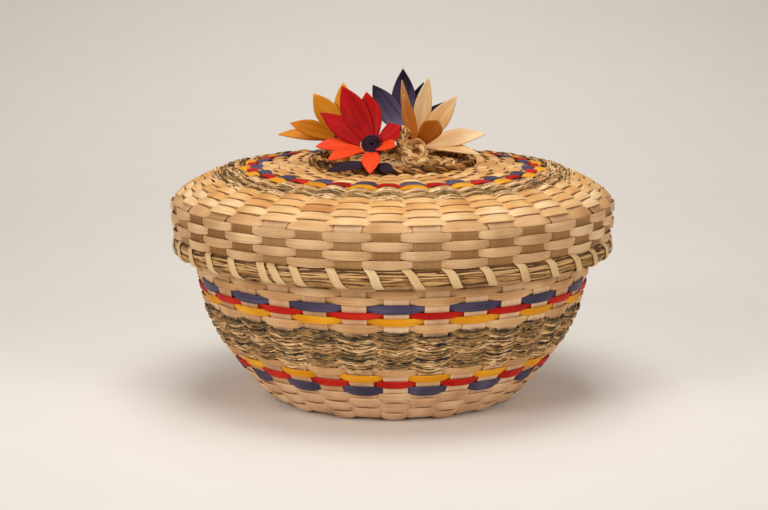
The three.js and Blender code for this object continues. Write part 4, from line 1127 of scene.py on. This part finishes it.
def add_petal(shape, grain, tone, root, tip, width, facing, number, shade, widest, painted_shading=(0, 0)):
    """A leaf-shaped, cupped piece of splint. One that stands bends back, one that lies low faces up."""
    way = tip - root
    length = way.length
    rise = way.z / length
    bend = petal_arch - petal_lean * max(0, rise)
    lying = max(0, low_rise - rise)
    side = way.cross(facing + Vector((0, 0, low_turn * lying))).normalized()
    face = side.cross(way).normalized()
    lanes = []
    for i in range(petal_steps + 1):
        share = i / petal_steps
        if share < widest:
            wide = petal_root_share + (1 - petal_root_share) * sin(pi / 2 * share / widest)
        else:
            wide = 1 - ((share - widest) / (1 - widest)) ** petal_point
        half = width / 2 * max(wide, petal_tip)
        bow = face * (length * bend * sin(pi * share))
        lane = []
        for j in range(petal_lanes + 1):
            across = 2 * j / petal_lanes - 1
            cup = face * (petal_cup * half * across * across)
            corner = shape.verts.new(root + way * share + bow + side * (across * half) + cup)
            corner[grain] = (share * length, number * splint_apart, across * half)
            # Painted light and shade: the petal's shade, changed along it from root to tip
            corner[tone] = shade + painted_shading[0] * (1 - share) + painted_shading[1] * share
            lane.append(corner)
        lanes.append(lane)
    for one, two in zip(lanes, lanes[1:]):
        for j in range(petal_lanes):
            shape.faces.new((one[j], one[j + 1], two[j + 1], two[j]))


def add_roll(shape, grain, tone, middle, facing, inner, outer, turns, low, high, number, begin=0):
    """A strip rolled up about a middle, along the way it faces."""
    right = Vector((0, 0, 1)).cross(facing).normalized()
    up = facing.cross(right)
    steps = round(turns * roll_steps)
    before = None
    for i in range(steps + 1):
        share = i / steps
        radius = inner + (outer - inner) * share
        turn = tau * (begin + turns * share)
        out = right * cos(turn) + up * sin(turn)
        pair = []
        for level in (low, (low + high) / 2, high):
            corner = shape.verts.new(middle + out * radius + facing * level)
            corner[grain] = (share * turns * outer * tau, number * splint_apart, level)
            corner[tone] = roll_tone
            pair.append(corner)
        if before:
            for j in range(2):
                shape.faces.new((before[j], pair[j], pair[j + 1], before[j + 1]))
        before = pair


def splint_piece(name, shape, material, extra=False):
    """Gives a sheet of splint its thickness and ties it to the lid."""
    mesh = bpy.data.meshes.new(name)
    shape.to_mesh(mesh)
    shape.free()
    mesh.materials.append(material)
    mesh.shade_smooth()
    piece = bpy.data.objects.new(name + "_detail", mesh)
    scene.collection.objects.link(piece)
    thick = piece.modifiers.new("thickness", "SOLIDIFY")
    thick.thickness = petal_thickness
    thick.offset = 0
    settle(piece, name, "lid", extra)


def new_sheet():
    """An empty sheet of splint that holds the grain and tone of its points."""
    shape = bmesh.new()
    return shape, shape.verts.layers.float_vector.new("grain"), shape.verts.layers.float.new("tone")


for flower, (root, facing, material, slot, petals) in flowers.items():
    root = Vector(root) * mm
    facing = Vector(facing).normalized()
    shape, grain, tone = new_sheet()
    for number, (tip, width, shade, widest) in enumerate(petals):
        tip = Vector(tip) * mm
        start = root + (tip - root).normalized() * petal_start
        add_petal(shape, grain, tone, start, tip, width * mm, facing, number, shade, widest,
                  petal_painted_shading[flower])
    foot = Vector((root.x * stem_lean, root.y * stem_lean, stem_foot))
    stem = root - foot
    add_roll(shape, grain, tone, foot, stem.normalized(), stem_radius / 3, stem_radius, stem_turns, 0,
             stem.length, number=9)
    splint_piece(f"flower_{flower}_petals", shape, material)
    shape, grain, tone = new_sheet()
    outer, turns, high = roll_sizes[flower]
    add_roll(shape, grain, tone, root, facing, roll_inner, outer * mm, turns, roll_low, high * mm, number=1)
    splint_piece(f"flower_{flower}_centre", shape, purple_ash)

# Trimmings of the red flower: two dark dyed ash leaves tucked into the braid below its petals, and a short
# pale strip of ash bent round a part of its dark middle.
leaf_root = (-10, -45, 137)
red_leaves = [((-36, -50, 134.6), 8, 0, 0.6), ((0.5, -50, 134.4), 8, 0, 0.6)]
strip_inner = 6.2 * mm
strip_outer = 6.6 * mm
strip_low = 2 * mm
strip_high = 5.5 * mm
strip_turns = 0.2
strip_begin = 0.48
red_root, red_facing = (Vector(value) for value in flowers["red"][:2])
shape, grain, tone = new_sheet()
for number, (tip, width, shade, widest) in enumerate(red_leaves):
    add_petal(shape, grain, tone, Vector(leaf_root) * mm, Vector(tip) * mm, width * mm, red_facing, number,
              shade, widest)
splint_piece("flower_red_leaves", shape, purple_ash, extra=True)
shape, grain, tone = new_sheet()
add_roll(shape, grain, tone, red_root * mm, red_facing.normalized(), strip_inner, strip_outer, strip_turns,
         strip_low, strip_high, number=2, begin=strip_begin)
splint_piece("flower_red_strip", shape, petal_natural, extra=True)
